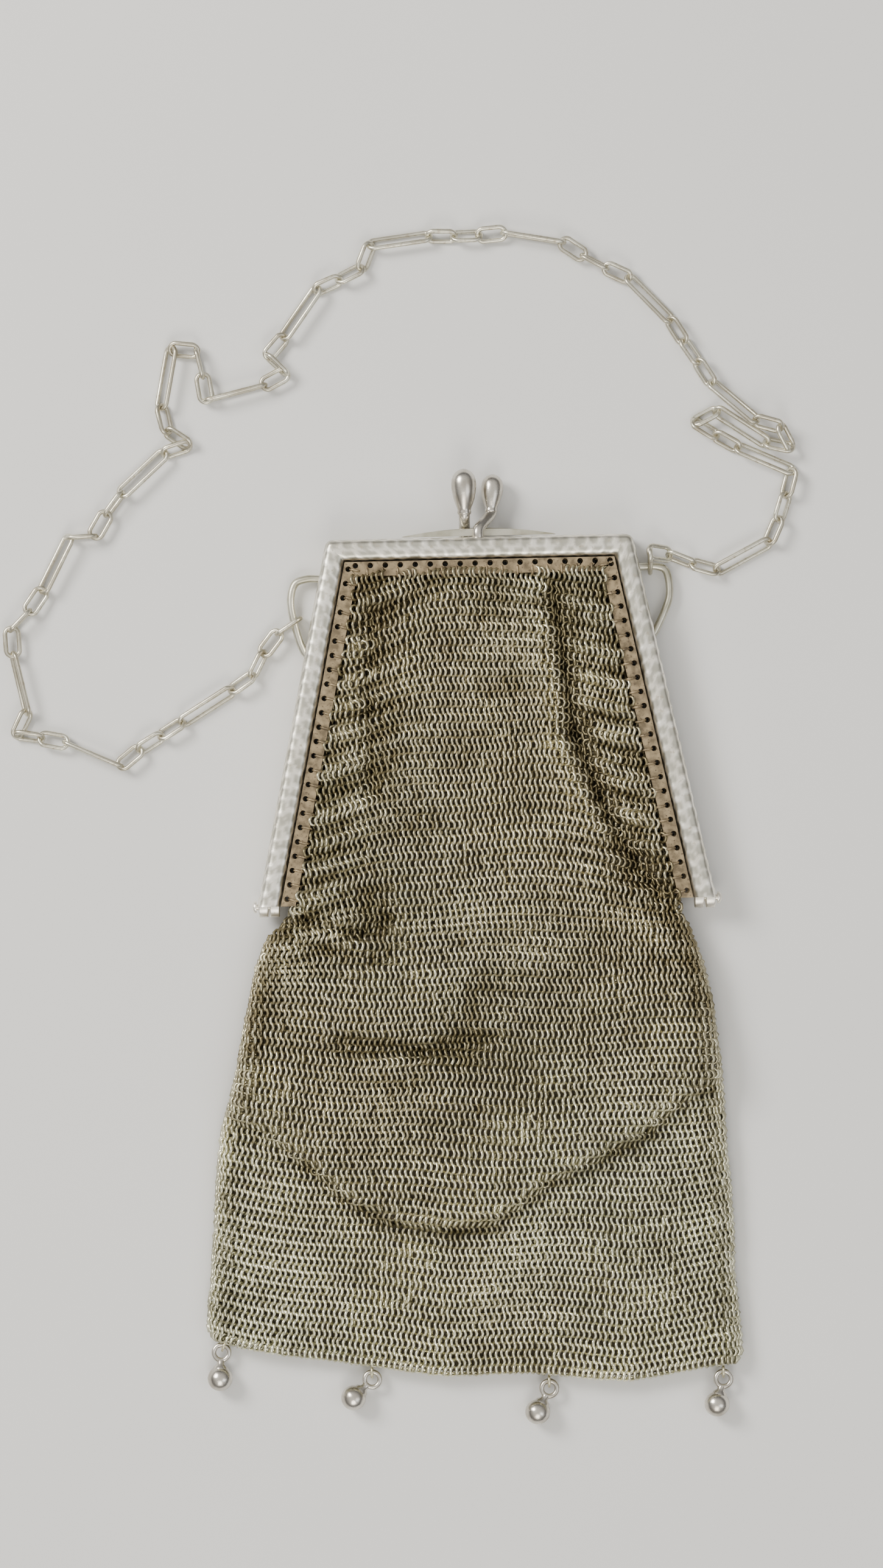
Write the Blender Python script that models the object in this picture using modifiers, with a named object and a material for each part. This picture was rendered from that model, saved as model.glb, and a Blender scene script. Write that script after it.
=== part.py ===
"""Metal mesh purse, lying shut on its back with its carrying chain thrown up round it.

The picture plane of the purse is XY, with +Y from the mesh bag to the clasp, and +Z is up from
the table at z = 0. The origin is the middle of the back frame's top bar, on the flat crest that
the frame rests on.
"""
import math

import bmesh
import bpy
import numpy as np
from mathutils import Matrix, Vector

mm = 0.001

# Clearances
GAP = 0.3 * mm
BAG_GAP = 0.5 * mm
FLOOR_GAP = 0.06 * mm

# Frame: two U-shaped halves, one above the other when shut
FRAME_TOP = 60.0 * mm
FRAME_FOOT = 89.8 * mm
FRAME_HEIGHT = 71.5 * mm
BAR_WIDTH = 4.4 * mm
BAR_DEPTH = 4.2 * mm
BAR_CHAMFER = 1.2 * mm
CORNER_ROUND = 1.6 * mm

# Perforated strips inside the frame, which the mesh is laced to
STRIP_WIDTH = 2.6 * mm
STRIP_THICK = 0.7 * mm
STRIP_DROP = 0.8 * mm
HOLE_RADIUS = 0.59 * mm
HOLE_PITCH = 2.9 * mm
HOLE_INSET = 0.8 * mm
HOLE_SIDES = 4

# Hinge at each foot: two lugs side by side on a pin along X, set in a little from the foot's
# end and outer wall. The room cut for the other half's lug takes most of the gap on each side
LUG_RADIUS = 2.0 * mm
LUG_THICK = 1.9 * mm
LUG_SIDES = 12
HINGE_SET = 0.15 * mm
ROOM_SHARE = 0.8
PIN_RADIUS = 0.6 * mm
PIN_HEAD_RADIUS = 1.15 * mm
PIN_HEAD_THICK = 0.8 * mm
PIN_SIDES = 6

# Clasp: two knobs on stems that snap past each other, and a guard plate between them
PLATE_LENGTH = 30.0 * mm
PLATE_RISE = 1.5 * mm
PLATE_THICK = 0.7 * mm
PLATE_END = 0.25 * mm
PLATE_STEPS = 9
STEM_RADIUS = 0.95 * mm
STEM_SEAT = 1.2 * mm
STEM_LEAN = 0.25
STEM_IN_KNOB = 0.2
BACK_STEM_RISE = 1.5 * mm
FRONT_STEM_RISE = 1.7 * mm
BACK_KNOB_WIDTH = 5.0 * mm
BACK_KNOB_LENGTH = 9.0 * mm
BACK_KNOB_TIP = 15.6 * mm
BACK_KNOB_OFFSET = 2.75 * mm
FRONT_KNOB_WIDTH = 4.4 * mm
FRONT_KNOB_LENGTH = 7.6 * mm
FRONT_KNOB_TIP = 14.6 * mm
FRONT_KNOB_OFFSET = 2.45 * mm
KNOB_CROSS = 0.9 * mm
KNOB_SIDES = 10

# Ear loops, bent wire set in the back frame's outer walls
EAR_RADIUS = 0.65 * mm
EAR_HEIGHT = 1.8 * mm
EAR_SEAT = 1.2 * mm

# Mesh bag
BAG_WALL = 1.0 * mm
BAG_DEPTH = 91.5 * mm
BAG_FRONT = 8.2 * mm
SWAG_STEP = 1.6 * mm
SWAG_PUFF = 0.10
PUFF_ABOVE = 7.0 * mm
PUFF_BREADTH = 5.0 * mm
BAG_LOW = 5.0 * mm
BAG_HEM = 4.3 * mm
SEAM_FALL = 1.4
SIDE_ROUND = 3.4 * mm
ROUND_STEP = 0.3
HEM_ROUND = 2.2 * mm
LEG_ROWS = 6
COLUMNS = 9

# Drops on the lower edge, each a ball soldered to an eye
EDGE_RING_RADIUS = 1.1 * mm
EDGE_RING_WIRE = 0.26 * mm
EDGE_RING_OUT = 0.55 * mm
EYE_RADIUS = 1.5 * mm
EYE_WIRE = 0.5 * mm
BALL_RADIUS = 2.45 * mm
BALL_REACH = 5.1 * mm
BALL_SIDES = 10
BALL_ROWS = 6
NECK_RADIUS = 0.8 * mm

# Chain: three short links to a long one
LINK_WIRE = 0.9 * mm
LINK_WIDTH = 3.5 * mm
SHORT_LINK = 6.6 * mm
LONG_LINK = 13.3 * mm
LINKS = 65
LONG_EVERY = 4
LONG_FIRST = 5
SPLIT_JOINT = 33
END_SEAT = 1.25 * mm
END_LINK_LEAN = math.radians(45.0)
LEFT_END_DOWN = 16.6 * mm
RIGHT_END_STAND_OFF = 2.2 * mm
LINK_SIDES = 10
WIRE_SIDES = 5
LAP_SHARE = 0.42
SETTLE_PASSES = 1500

# The bag below the hinge: how far down, and each side as a share of half the frame's foot
BAG_SIDES = [
    # down, left, right
    (0.00, 0.860, 0.837),
    (0.04, 0.942, 0.873),
    (0.10, 0.993, 0.915),
    (0.20, 1.036, 0.960),
    (0.30, 1.073, 0.984),
    (0.40, 1.111, 0.998),
    (0.50, 1.165, 1.004),
    (0.60, 1.189, 1.020),
    (0.70, 1.203, 1.033),
    (0.80, 1.216, 1.033),
    (0.90, 1.236, 1.049),
    (0.965, 1.247, 1.056),
    (1.00, 1.216, 1.029),
]

# The lower edge: place across from -1 to 1, and how deep, as a share of the bag's depth
BAG_BOTTOM = [
    # across, depth
    (-1.00, 0.905),
    (-0.87, 0.925),
    (-0.66, 0.951),
    (-0.45, 0.970),
    (-0.27, 0.980),
    (-0.10, 0.993),
    (0.25, 0.999),
    (0.60, 1.011),
    (0.80, 1.000),
    (1.00, 0.985),
]

# Rows of the bag below the hinge, closer together where the big fold crosses
BAG_ROWS = (0.0, 0.10, 0.21, 0.32, 0.41, 0.48, 0.545, 0.60, 0.65, 0.70, 0.84)

# The big sagging fold: place across the foot width, and depth as a share of the bag's depth
SWAG = [
    # across, depth
    (-1.30, 0.37),
    (-0.98, 0.448),
    (-0.75, 0.542),
    (-0.59, 0.609),
    (-0.43, 0.647),
    (-0.23, 0.661),
    (-0.02, 0.651),
    (0.10, 0.616),
    (0.24, 0.566),
    (0.67, 0.467),
    (0.81, 0.402),
    (1.20, 0.30),
]

# Creases and ridges of the front: ends across and down, shares of half the foot width and of
# the whole height from the frame's top, with breadth and height as shares of the bag's thickness
FOLDS = [
    # across_0, down_0, across_1, down_1, breadth, height
    (0.33, 0.07, 0.39, 0.24, 0.38, -0.10),
    (0.39, 0.24, 0.63, 0.40, 0.38, -0.12),
    (0.63, 0.40, 0.77, 0.45, 0.38, -0.10),
    (-0.54, 0.10, -0.56, 0.32, 0.45, 0.07),
    (-0.42, 0.10, -0.44, 0.30, 0.40, -0.08),
    (-0.50, 0.44, -0.45, 0.49, 0.40, -0.14),
    (-0.66, 0.615, -0.12, 0.618, 0.35, -0.10),
    (-0.12, 0.618, -0.05, 0.54, 0.35, -0.09),
]

# The pear of a clasp knob, from its round end to its neck, as shares of its width and length
PEAR = [
    # radius, height
    (0.00, 1.00),
    (0.27, 0.95),
    (0.47, 0.80),
    (0.49, 0.60),
    (0.36, 0.26),
    (0.27, 0.05),
    (0.00, 0.00),
]

# Ear loops: distance down the leg from the frame's top edge, and stand-off from its outer wall
LEFT_EAR = [
    # down, stand_off
    (7.4 * mm, 0.0 * mm),
    (7.4 * mm, 2.6 * mm),
    (8.5 * mm, 4.7 * mm),
    (12.6 * mm, 4.6 * mm),
    (19.0 * mm, 1.9 * mm),
    (22.2 * mm, 0.0 * mm),
]
RIGHT_EAR = [
    # down, stand_off
    (6.4 * mm, 0.0 * mm),
    (6.4 * mm, 3.6 * mm),
    (7.6 * mm, 5.2 * mm),
    (11.8 * mm, 4.8 * mm),
    (15.4 * mm, 2.9 * mm),
    (19.6 * mm, 0.0 * mm),
]

# Drops: place across the lower edge, heading of the edge's ring, heading of the ball
DROPS = [
    # across, ring_degrees, ball_degrees
    (-0.975, -112.0, -94.0),
    (-0.405, -90.0, -137.0),
    (0.285, -90.0, -118.0),
    (0.965, -90.0, -106.0),
]

# The chain's route as it was laid down: number of the joint between two links, its place on the
# table, and how far it is lifted over what lies under it
CHAIN_ROUTE = [
    # joint, x, y, lift
    (1, -39.9 * mm, -16.0 * mm, 0.0 * mm),
    (2, -42.9 * mm, -19.8 * mm, 0.0 * mm),
    (3, -45.6 * mm, -23.8 * mm, 0.0 * mm),
    (4, -49.4 * mm, -26.7 * mm, 0.0 * mm),
    (5, -59.2 * mm, -32.8 * mm, 0.0 * mm),
    (8, -71.3 * mm, -40.3 * mm, 0.0 * mm),
    (9, -82.1 * mm, -36.4 * mm, 0.0 * mm),
    (11, -91.2 * mm, -34.3 * mm, 0.0 * mm),
    (12, -89.9 * mm, -29.5 * mm, 0.0 * mm),
    (13, -91.8 * mm, -18.6 * mm, 0.0 * mm),
    (14, -91.5 * mm, -14.0 * mm, 0.0 * mm),
    (16, -86.1 * mm, -6.3 * mm, 0.0 * mm),
    (17, -80.3 * mm, 3.1 * mm, 0.0 * mm),
    (18, -75.9 * mm, 4.9 * mm, 0.0 * mm),
    (20, -70.0 * mm, 12.2 * mm, 0.0 * mm),
    (21, -61.2 * mm, 19.9 * mm, 0.0 * mm),
    (22, -57.4 * mm, 21.2 * mm, 0.0 * mm),
    (23, -61.0 * mm, 24.6 * mm, 0.0 * mm),
    (24, -61.9 * mm, 29.4 * mm, 0.0 * mm),
    (25, -59.3 * mm, 40.7 * mm, 0.0 * mm),
    (26, -54.9 * mm, 39.8 * mm, 0.0 * mm),
    (28, -52.4 * mm, 30.9 * mm, 0.0 * mm),
    (29, -41.7 * mm, 33.3 * mm, 0.0 * mm),
    (30, -37.9 * mm, 35.4 * mm, 0.0 * mm),
    (31, -39.7 * mm, 39.6 * mm, 0.0 * mm),
    (32, -37.3 * mm, 42.8 * mm, 0.0 * mm),
    (33, -30.4 * mm, 51.2 * mm, 0.0 * mm),
    (35, -22.4 * mm, 56.2 * mm, 0.0 * mm),
    (36, -19.7 * mm, 59.4 * mm, 0.0 * mm),
    (37, -8.8 * mm, 61.6 * mm, 0.0 * mm),
    (40, 6.6 * mm, 61.8 * mm, 0.0 * mm),
    (41, 17.6 * mm, 59.6 * mm, 0.0 * mm),
    (44, 30.3 * mm, 52.6 * mm, 0.0 * mm),
    (45, 38.4 * mm, 44.3 * mm, 0.0 * mm),
    (48, 46.6 * mm, 31.8 * mm, 0.0 * mm),
    (49, 54.7 * mm, 24.3 * mm, 2.4 * mm),
    (50, 59.4 * mm, 22.6 * mm, 2.4 * mm),
    (51, 61.8 * mm, 18.6 * mm, 0.6 * mm),
    (52, 57.2 * mm, 19.6 * mm, 0.0 * mm),
    (53, 46.9 * mm, 26.2 * mm, 0.0 * mm),
    (54, 43.2 * mm, 24.2 * mm, 0.0 * mm),
    (55, 47.0 * mm, 21.4 * mm, 0.0 * mm),
    (56, 51.4 * mm, 18.8 * mm, 0.0 * mm),
    (57, 62.1 * mm, 14.0 * mm, 0.0 * mm),
    (60, 57.8 * mm, 0.3 * mm, 0.0 * mm),
    (61, 47.2 * mm, -6.2 * mm, 0.0 * mm),
    (62, 42.3 * mm, -4.3 * mm, 0.0 * mm),
    (63, 38.3 * mm, -1.0 * mm, 0.0 * mm),
]

# How the chain is twisted along its length; every second link stands a quarter turn to this
CHAIN_TWIST = [
    # link, degrees
    (1, 0.0),
    (4, 45.0),
    (7, 45.0),
    (9, 0.0),
    (12, 45.0),
    (14, 0.0),
    (16, 0.0),
    (18, 90.0),
    (19, 90.0),
    (22, 45.0),
    (25, 45.0),
    (27, 0.0),
    (30, 0.0),
    (33, 45.0),
    (39, 45.0),
    (41, 0.0),
    (42, 0.0),
    (45, 45.0),
    (62, 45.0),
    (65, 0.0),
]

# Finishes: colour, roughness
SILVER = ((0.72, 0.69, 0.62), 0.28)
TARNISHED = ((0.48, 0.38, 0.27), 0.42)
MESH_SILVER = ((0.50, 0.48, 0.39), 0.38)
CHAIN_SILVER = ((0.70, 0.68, 0.58), 0.30)

# Sizes that follow from the ones above
FRAME_TOP_Y = BAR_WIDTH / 2
FOOT_Y = FRAME_TOP_Y - FRAME_HEIGHT
FRONT_Z = BAR_DEPTH + GAP
THICKNESS = FRONT_Z + BAR_DEPTH
HINGE_Y = FOOT_Y - HINGE_SET
HINGE_Z = THICKNESS / 2
LEG_SLOPE = (FRAME_FOOT - FRAME_TOP) / 2 / FRAME_HEIGHT
LEG_STRETCH = math.hypot(1.0, LEG_SLOPE)
STRIP_INSET = BAR_WIDTH + GAP
BAG_INSET = STRIP_INSET + STRIP_WIDTH + BAG_GAP
BAG_EDGE_FRONT = THICKNESS - STRIP_DROP
SEAM_TOP = FOOT_Y - LUG_RADIUS - BAG_GAP
HALF_FOOT = FRAME_FOOT / 2


def clear_scene():
    for item in list(bpy.data.objects):
        bpy.data.objects.remove(item, do_unlink=True)


def new_collection(name):
    collection = bpy.data.collections.new(name)
    bpy.context.scene.collection.children.link(collection)
    return collection


def finish(name, colour_and_roughness):
    colour, roughness = colour_and_roughness
    material = bpy.data.materials.new(name)
    material.use_nodes = True
    shader = material.node_tree.nodes["Principled BSDF"]
    shader.inputs["Base Color"].default_value = (*colour, 1.0)
    shader.inputs["Roughness"].default_value = roughness
    shader.inputs["Metallic"].default_value = 1.0
    return material


def object_from_bmesh(name, bm, collection, material=None, smooth=True):
    bmesh.ops.recalc_face_normals(bm, faces=bm.faces)
    mesh = bpy.data.meshes.new(name)
    bm.to_mesh(mesh)
    bm.free()
    if smooth:
        mesh.shade_smooth()
        mesh.set_sharp_from_angle(angle=math.radians(35.0))
    if material is not None:
        mesh.materials.append(material)
    item = bpy.data.objects.new(name, mesh)
    collection.objects.link(item)
    return item


def as_cutter(item):
    item.hide_render = True
    item.display_type = "WIRE"
    return item


def boolean(target, other, operation):
    modifier = target.modifiers.new(operation.title(), "BOOLEAN")
    modifier.operation = operation
    modifier.solver = "EXACT"
    modifier.object = other
    return modifier


def rod(bm, start, end, radius, sides):
    """A straight round bar between two points."""
    start = Vector(start)
    end = Vector(end)
    turn = (end - start).to_track_quat("Z", "Y").to_matrix().to_4x4()
    place = Matrix.Translation((start + end) / 2) @ turn
    made = bmesh.ops.create_cone(bm, cap_ends=True, segments=sides, radius1=radius, radius2=radius,
                                 depth=(end - start).length, matrix=place)
    return made["verts"]


def rod_object(name, start, end, radius, sides, collection, material=None):
    bm = bmesh.new()
    rod(bm, start, end, radius, sides)
    return object_from_bmesh(name, bm, collection, material)


def torus(bm, radius, wire, ring_sides, wire_sides, matrix, stretch=0.0):
    """A ring in the XY plane of its matrix, drawn out along X by the stretch each way."""
    profile = [bm.verts.new((radius - wire * math.cos(2 * math.pi * i / wire_sides), 0.0,
                             wire * math.sin(2 * math.pi * i / wire_sides)))
               for i in range(wire_sides)]
    loop = [bm.edges.new((profile[i - 1], profile[i])) for i in range(wire_sides)]
    bmesh.ops.spin(bm, geom=profile + loop, cent=(0.0, 0.0, 0.0), axis=(0.0, 0.0, 1.0),
                   angle=2 * math.pi, steps=ring_sides, use_merge=True)
    for vert in bm.verts:
        vert.co.x += math.copysign(stretch, vert.co.x)
    bmesh.ops.transform(bm, matrix=matrix, verts=bm.verts)


def smooth_route(points, steps):
    """Catmull-Rom curve through the points, with this many steps to a span."""
    points = np.asarray(points, float)
    ends = np.vstack([2 * points[0] - points[1], points, 2 * points[-1] - points[-2]])
    share = np.linspace(0.0, 1.0, steps, endpoint=False)[:, None]
    spans = []
    for a, b, c, d in zip(ends[:-3], ends[1:-2], ends[2:-1], ends[3:]):
        spans.append(0.5 * (2 * b + (c - a) * share + (2 * a - 5 * b + 4 * c - d) * share ** 2
                            + (3 * b - a - 3 * c + d) * share ** 3))
    return np.vstack(spans + [points[-1:]])


def leg_x(y, inset=0.0):
    """Half width of the frame at y, along a line set in from the outer edge."""
    return FRAME_TOP / 2 + (FRAME_TOP_Y - y) * LEG_SLOPE - inset * LEG_STRETCH


def u_outline(outer_inset, inner_inset, foot_y):
    """Corners of the U between two lines set in from the frame's outer edge."""
    outer_top = FRAME_TOP_Y - outer_inset
    inner_top = FRAME_TOP_Y - inner_inset
    right = [(leg_x(foot_y, outer_inset), foot_y), (leg_x(outer_top, outer_inset), outer_top)]
    inside = [(leg_x(inner_top, inner_inset), inner_top), (leg_x(foot_y, inner_inset), foot_y)]
    left = [(-x, y) for x, y in reversed(right)]
    left_inside = [(-x, y) for x, y in reversed(inside)]
    return right + left + left_inside + inside


def u_prism(bm, outline, low, high):
    face = bm.faces.new([bm.verts.new((x, y, low)) for x, y in outline])
    lifted = bmesh.ops.extrude_face_region(bm, geom=[face])
    moved = [item for item in lifted["geom"] if isinstance(item, bmesh.types.BMVert)]
    bmesh.ops.translate(bm, verts=moved, vec=(0.0, 0.0, high - low))


def frame_bar(name, low, high, crest, collection, material):
    """One U-shaped half with rounded corners and its crest edges chamfered away."""
    bm = bmesh.new()
    outline = u_outline(0.0, BAR_WIDTH, FOOT_Y)
    u_prism(bm, outline, low, high)
    corner_x = leg_x(FRAME_TOP_Y)
    uprights = [edge for edge in bm.edges
                if abs(edge.verts[0].co.z - edge.verts[1].co.z) > BAR_DEPTH / 2
                and abs(edge.verts[0].co.y - FRAME_TOP_Y) < FLOOR_GAP
                and abs(abs(edge.verts[0].co.x) - corner_x) < FLOOR_GAP]
    bmesh.ops.bevel(bm, geom=uprights, offset=CORNER_ROUND, segments=2, profile=0.5,
                    affect="EDGES", clamp_overlap=True)
    crest_edges = [edge for edge in bm.edges
                   if all(abs(vert.co.z - crest) < FLOOR_GAP for vert in edge.verts)]
    bmesh.ops.bevel(bm, geom=crest_edges, offset=BAR_CHAMFER, segments=1, profile=0.5,
                    affect="EDGES", clamp_overlap=True)
    return object_from_bmesh(name, bm, collection, material)


def lug_span(side, place):
    """X range of the outer lug (place 0) or the inner lug (place 1) at a foot."""
    outer = HALF_FOOT - HINGE_SET - place * (LUG_THICK + GAP)
    return side * outer, side * (outer - LUG_THICK)


def build_frame(parts, cutters, silver):
    """Both halves, each with its lugs, cut clear of the other's lugs and drilled for the pins."""
    halves = {"back_frame": (0.0, BAR_DEPTH, 0.0, 0),
              "front_frame": (FRONT_Z, THICKNESS, THICKNESS, 1)}
    frames = {}
    for name, (low, high, crest, own) in halves.items():
        frame = frame_bar(name, low, high, crest, parts, silver)
        for side, tag in ((-1, "left"), (1, "right")):
            start, end = lug_span(side, own)
            lug = rod_object(f"{name}_{tag}_lug", (start, HINGE_Y, HINGE_Z), (end, HINGE_Y, HINGE_Z),
                             LUG_RADIUS, LUG_SIDES, cutters)
            boolean(frame, as_cutter(lug), "UNION")
            start, end = lug_span(side, 1 - own)
            way_in = side * ROOM_SHARE * GAP
            room = rod_object(f"{name}_{tag}_room", (start + way_in, HINGE_Y, HINGE_Z),
                              (end - way_in, HINGE_Y, HINGE_Z), LUG_RADIUS + GAP, LUG_SIDES, cutters)
            boolean(frame, as_cutter(room), "DIFFERENCE")
            bore = rod_object(f"{name}_{tag}_bore", (side * (HALF_FOOT + LUG_THICK), HINGE_Y, HINGE_Z),
                              (side * (HALF_FOOT - 3 * LUG_THICK), HINGE_Y, HINGE_Z),
                              PIN_RADIUS + GAP, PIN_SIDES, cutters)
            boolean(frame, as_cutter(bore), "DIFFERENCE")
        frames[name] = frame
    return frames


def build_pins(parts, cutters, silver):
    for side, tag in ((-1, "left"), (1, "right")):
        inner = HALF_FOOT - 2 * LUG_THICK - GAP / 2
        head = HALF_FOOT + GAP
        bm = bmesh.new()
        rod(bm, (side * inner, HINGE_Y, HINGE_Z), (side * (head + PIN_HEAD_THICK / 2), HINGE_Y, HINGE_Z),
            PIN_RADIUS, PIN_SIDES)
        pin = object_from_bmesh(f"{tag}_hinge_pin", bm, parts, silver)
        cap = rod_object(f"{tag}_pin_head", (side * head, HINGE_Y, HINGE_Z),
                         (side * (head + PIN_HEAD_THICK), HINGE_Y, HINGE_Z), PIN_HEAD_RADIUS,
                         LUG_SIDES, cutters)
        boolean(pin, as_cutter(cap), "UNION")


def hole_places():
    """Centres of the lacing holes along the left leg, the top and the right leg."""
    inset = STRIP_INSET + HOLE_INSET
    top = FRAME_TOP_Y - inset
    corner = leg_x(top, inset)
    foot = FOOT_Y + HOLE_PITCH
    leg_length = (top - foot) * LEG_STRETCH
    legs = int(leg_length / HOLE_PITCH)
    across = int(2 * corner / HOLE_PITCH)
    places = []
    for i in range(1, legs + 1):
        y = foot + (top - foot) * (1 - i / legs)
        turn = math.atan(LEG_SLOPE)
        places.append((-leg_x(y, inset), y, -turn))
        places.append((leg_x(y, inset), y, turn))
    for i in range(1, across):
        places.append((corner * (2 * i / across - 1), top, 0.0))
    return places


def build_strip(name, low, pierced, parts, cutters, tarnished):
    """A thin U; the front one's lacing holes are cut right through."""
    bm = bmesh.new()
    outline = u_outline(STRIP_INSET, STRIP_INSET + STRIP_WIDTH, FOOT_Y)
    u_prism(bm, outline, low, low + STRIP_THICK)
    strip = object_from_bmesh(name, bm, parts, tarnished)
    if not pierced:
        return
    bm = bmesh.new()
    for x, y, turn in hole_places():
        place = Matrix.Translation((x, y, low + STRIP_THICK / 2)) @ Matrix.Rotation(
            turn + math.pi / HOLE_SIDES, 4, "Z")
        bmesh.ops.create_cone(bm, cap_ends=True, segments=HOLE_SIDES, radius1=HOLE_RADIUS,
                              radius2=HOLE_RADIUS, depth=3 * STRIP_THICK, matrix=place)
    boolean(strip, as_cutter(object_from_bmesh(f"{name}_holes", bm, cutters)), "DIFFERENCE")


def turned(name, profile, steps, collection, matrix, material=None):
    """A turned piece: a profile of radius and height, top first, screwed round its own Z."""
    bm = bmesh.new()
    verts = [bm.verts.new((radius, 0.0, height)) for radius, height in profile]
    edges = [bm.edges.new(pair) for pair in zip(verts, verts[1:])]
    bmesh.ops.spin(bm, geom=verts + edges, cent=(0.0, 0.0, 0.0), axis=(0.0, 0.0, 1.0),
                   angle=2 * math.pi, steps=steps, use_merge=True)
    bmesh.ops.remove_doubles(bm, verts=bm.verts, dist=0.01 * mm)
    bmesh.ops.transform(bm, matrix=matrix, verts=bm.verts)
    return object_from_bmesh(name, bm, collection, material)


def build_clasp(frames, parts, cutters, silver):
    """Each knob and its stem are one piece, riveted in a hole in its own half's top wall."""
    clasps = [
        # name, frame, foot_x, foot_z, knob_x, knob_z, width, length, tip
        ("back_clasp_knob", "back_frame", -BACK_KNOB_OFFSET, BACK_STEM_RISE, -BACK_KNOB_OFFSET,
         HINGE_Z + KNOB_CROSS, BACK_KNOB_WIDTH, BACK_KNOB_LENGTH, BACK_KNOB_TIP),
        ("front_clasp_knob", "front_frame", 0.0, FRONT_Z + FRONT_STEM_RISE, FRONT_KNOB_OFFSET,
         HINGE_Z - KNOB_CROSS, FRONT_KNOB_WIDTH, FRONT_KNOB_LENGTH, FRONT_KNOB_TIP),
    ]
    for name, frame, foot_x, foot_z, knob_x, knob_z, width, length, tip in clasps:
        base = Vector((knob_x, tip - length, knob_z))
        foot = Vector((foot_x, FRAME_TOP_Y + PLATE_RISE, foot_z))
        across = Vector((knob_x - foot_x, 0.0, knob_z - foot_z))
        lean = (across * STEM_LEAN + Vector((0.0, length, 0.0))).normalized()
        matrix = Matrix.Translation(base) @ lean.to_track_quat("Z", "Y").to_matrix().to_4x4()
        knob = turned(name, [(radius * width, height * length) for radius, height in PEAR],
                      KNOB_SIDES, parts, matrix, silver)
        route = [foot - Vector((0.0, STEM_SEAT + PLATE_RISE, 0.0)), foot,
                 base - lean * GAP, base + lean * STEM_IN_KNOB * length]
        points = smooth_route([tuple(point) for point in route], 2)
        stem = wire_mesh(f"{name}_stem", points, STEM_RADIUS, 2, cutters)
        boolean(knob, as_cutter(stem), "UNION")
        seat = rod_object(f"{name}_seat", (foot_x, FRAME_TOP_Y - STEM_SEAT - GAP, foot_z),
                          (foot_x, FRAME_TOP_Y + STEM_SEAT, foot_z), STEM_RADIUS + GAP, PIN_SIDES, cutters)
        boolean(frames[frame], as_cutter(seat), "DIFFERENCE")


def build_guard_plate(parts, silver):
    """A thin lens standing on the back half's top wall, just under the parting line."""
    low = BAR_DEPTH - PLATE_THICK
    base = FRAME_TOP_Y + GAP
    share = np.linspace(-1.0, 1.0, PLATE_STEPS)
    arch = [(PLATE_LENGTH / 2 * s, base + PLATE_END + (PLATE_RISE - PLATE_END) * (1 - s * s))
            for s in share]
    outline = [(-PLATE_LENGTH / 2, base)] + arch + [(PLATE_LENGTH / 2, base)]
    bm = bmesh.new()
    u_prism(bm, outline[::-1], low, BAR_DEPTH)
    object_from_bmesh("clasp_plate", bm, parts, silver)


def wire_mesh(name, points, radius, resolution, collection, material=None):
    """Round wire along the points, as a closed mesh with welded caps."""
    curve = bpy.data.curves.new(name, "CURVE")
    curve.dimensions = "3D"
    curve.bevel_depth = radius
    curve.bevel_resolution = resolution
    curve.resolution_u = 1
    curve.render_resolution_u = 0
    curve.use_fill_caps = True
    spline = curve.splines.new("POLY")
    spline.points.add(len(points) - 1)
    for point, place in zip(spline.points, points):
        point.co = (*place, 1.0)
    holder = bpy.data.objects.new(f"{name}_curve", curve)
    collection.objects.link(holder)
    depsgraph = bpy.context.evaluated_depsgraph_get()
    mesh = bpy.data.meshes.new_from_object(holder.evaluated_get(depsgraph))
    matrix = holder.matrix_world.copy()
    bpy.data.objects.remove(holder, do_unlink=True)
    bpy.data.curves.remove(curve)
    bm = bmesh.new()
    bm.from_mesh(mesh)
    bpy.data.meshes.remove(mesh)
    bmesh.ops.remove_doubles(bm, verts=bm.verts, dist=0.005 * mm)
    bmesh.ops.transform(bm, matrix=matrix, verts=bm.verts)
    return object_from_bmesh(name, bm, collection, material)


def ear_route(table, side):
    """The ear's middle line, smooth through its table, with both ends let into the wall."""
    points = []
    for down, stand_off in table:
        y = FRAME_TOP_Y - down
        points.append((side * (leg_x(y) + stand_off), y, EAR_HEIGHT))
    first = (points[0][0] - side * EAR_SEAT, points[0][1], EAR_HEIGHT)
    last = (points[-1][0] - side * EAR_SEAT, points[-1][1], EAR_HEIGHT)
    inner = smooth_route(points, 2)
    return np.vstack([[first], inner, [last]])


def build_ears(frames, parts, cutters, silver):
    for table, side, tag in ((LEFT_EAR, -1, "left"), (RIGHT_EAR, 1, "right")):
        wire_mesh(f"{tag}_ear_loop", ear_route(table, side), EAR_RADIUS, 1, parts, silver)
        for down, _ in (table[0], table[-1]):
            y = FRAME_TOP_Y - down
            wall = leg_x(y)
            seat = rod_object(f"{tag}_ear_seat_{round(down / mm)}",
                              (side * (wall - EAR_SEAT - GAP), y, EAR_HEIGHT),
                              (side * (wall + EAR_SEAT), y, EAR_HEIGHT), EAR_RADIUS + GAP,
                              PIN_SIDES, cutters)
            boolean(frames["back_frame"], as_cutter(seat), "DIFFERENCE")


def column(table, index):
    return np.array([row[index] for row in table])


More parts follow.
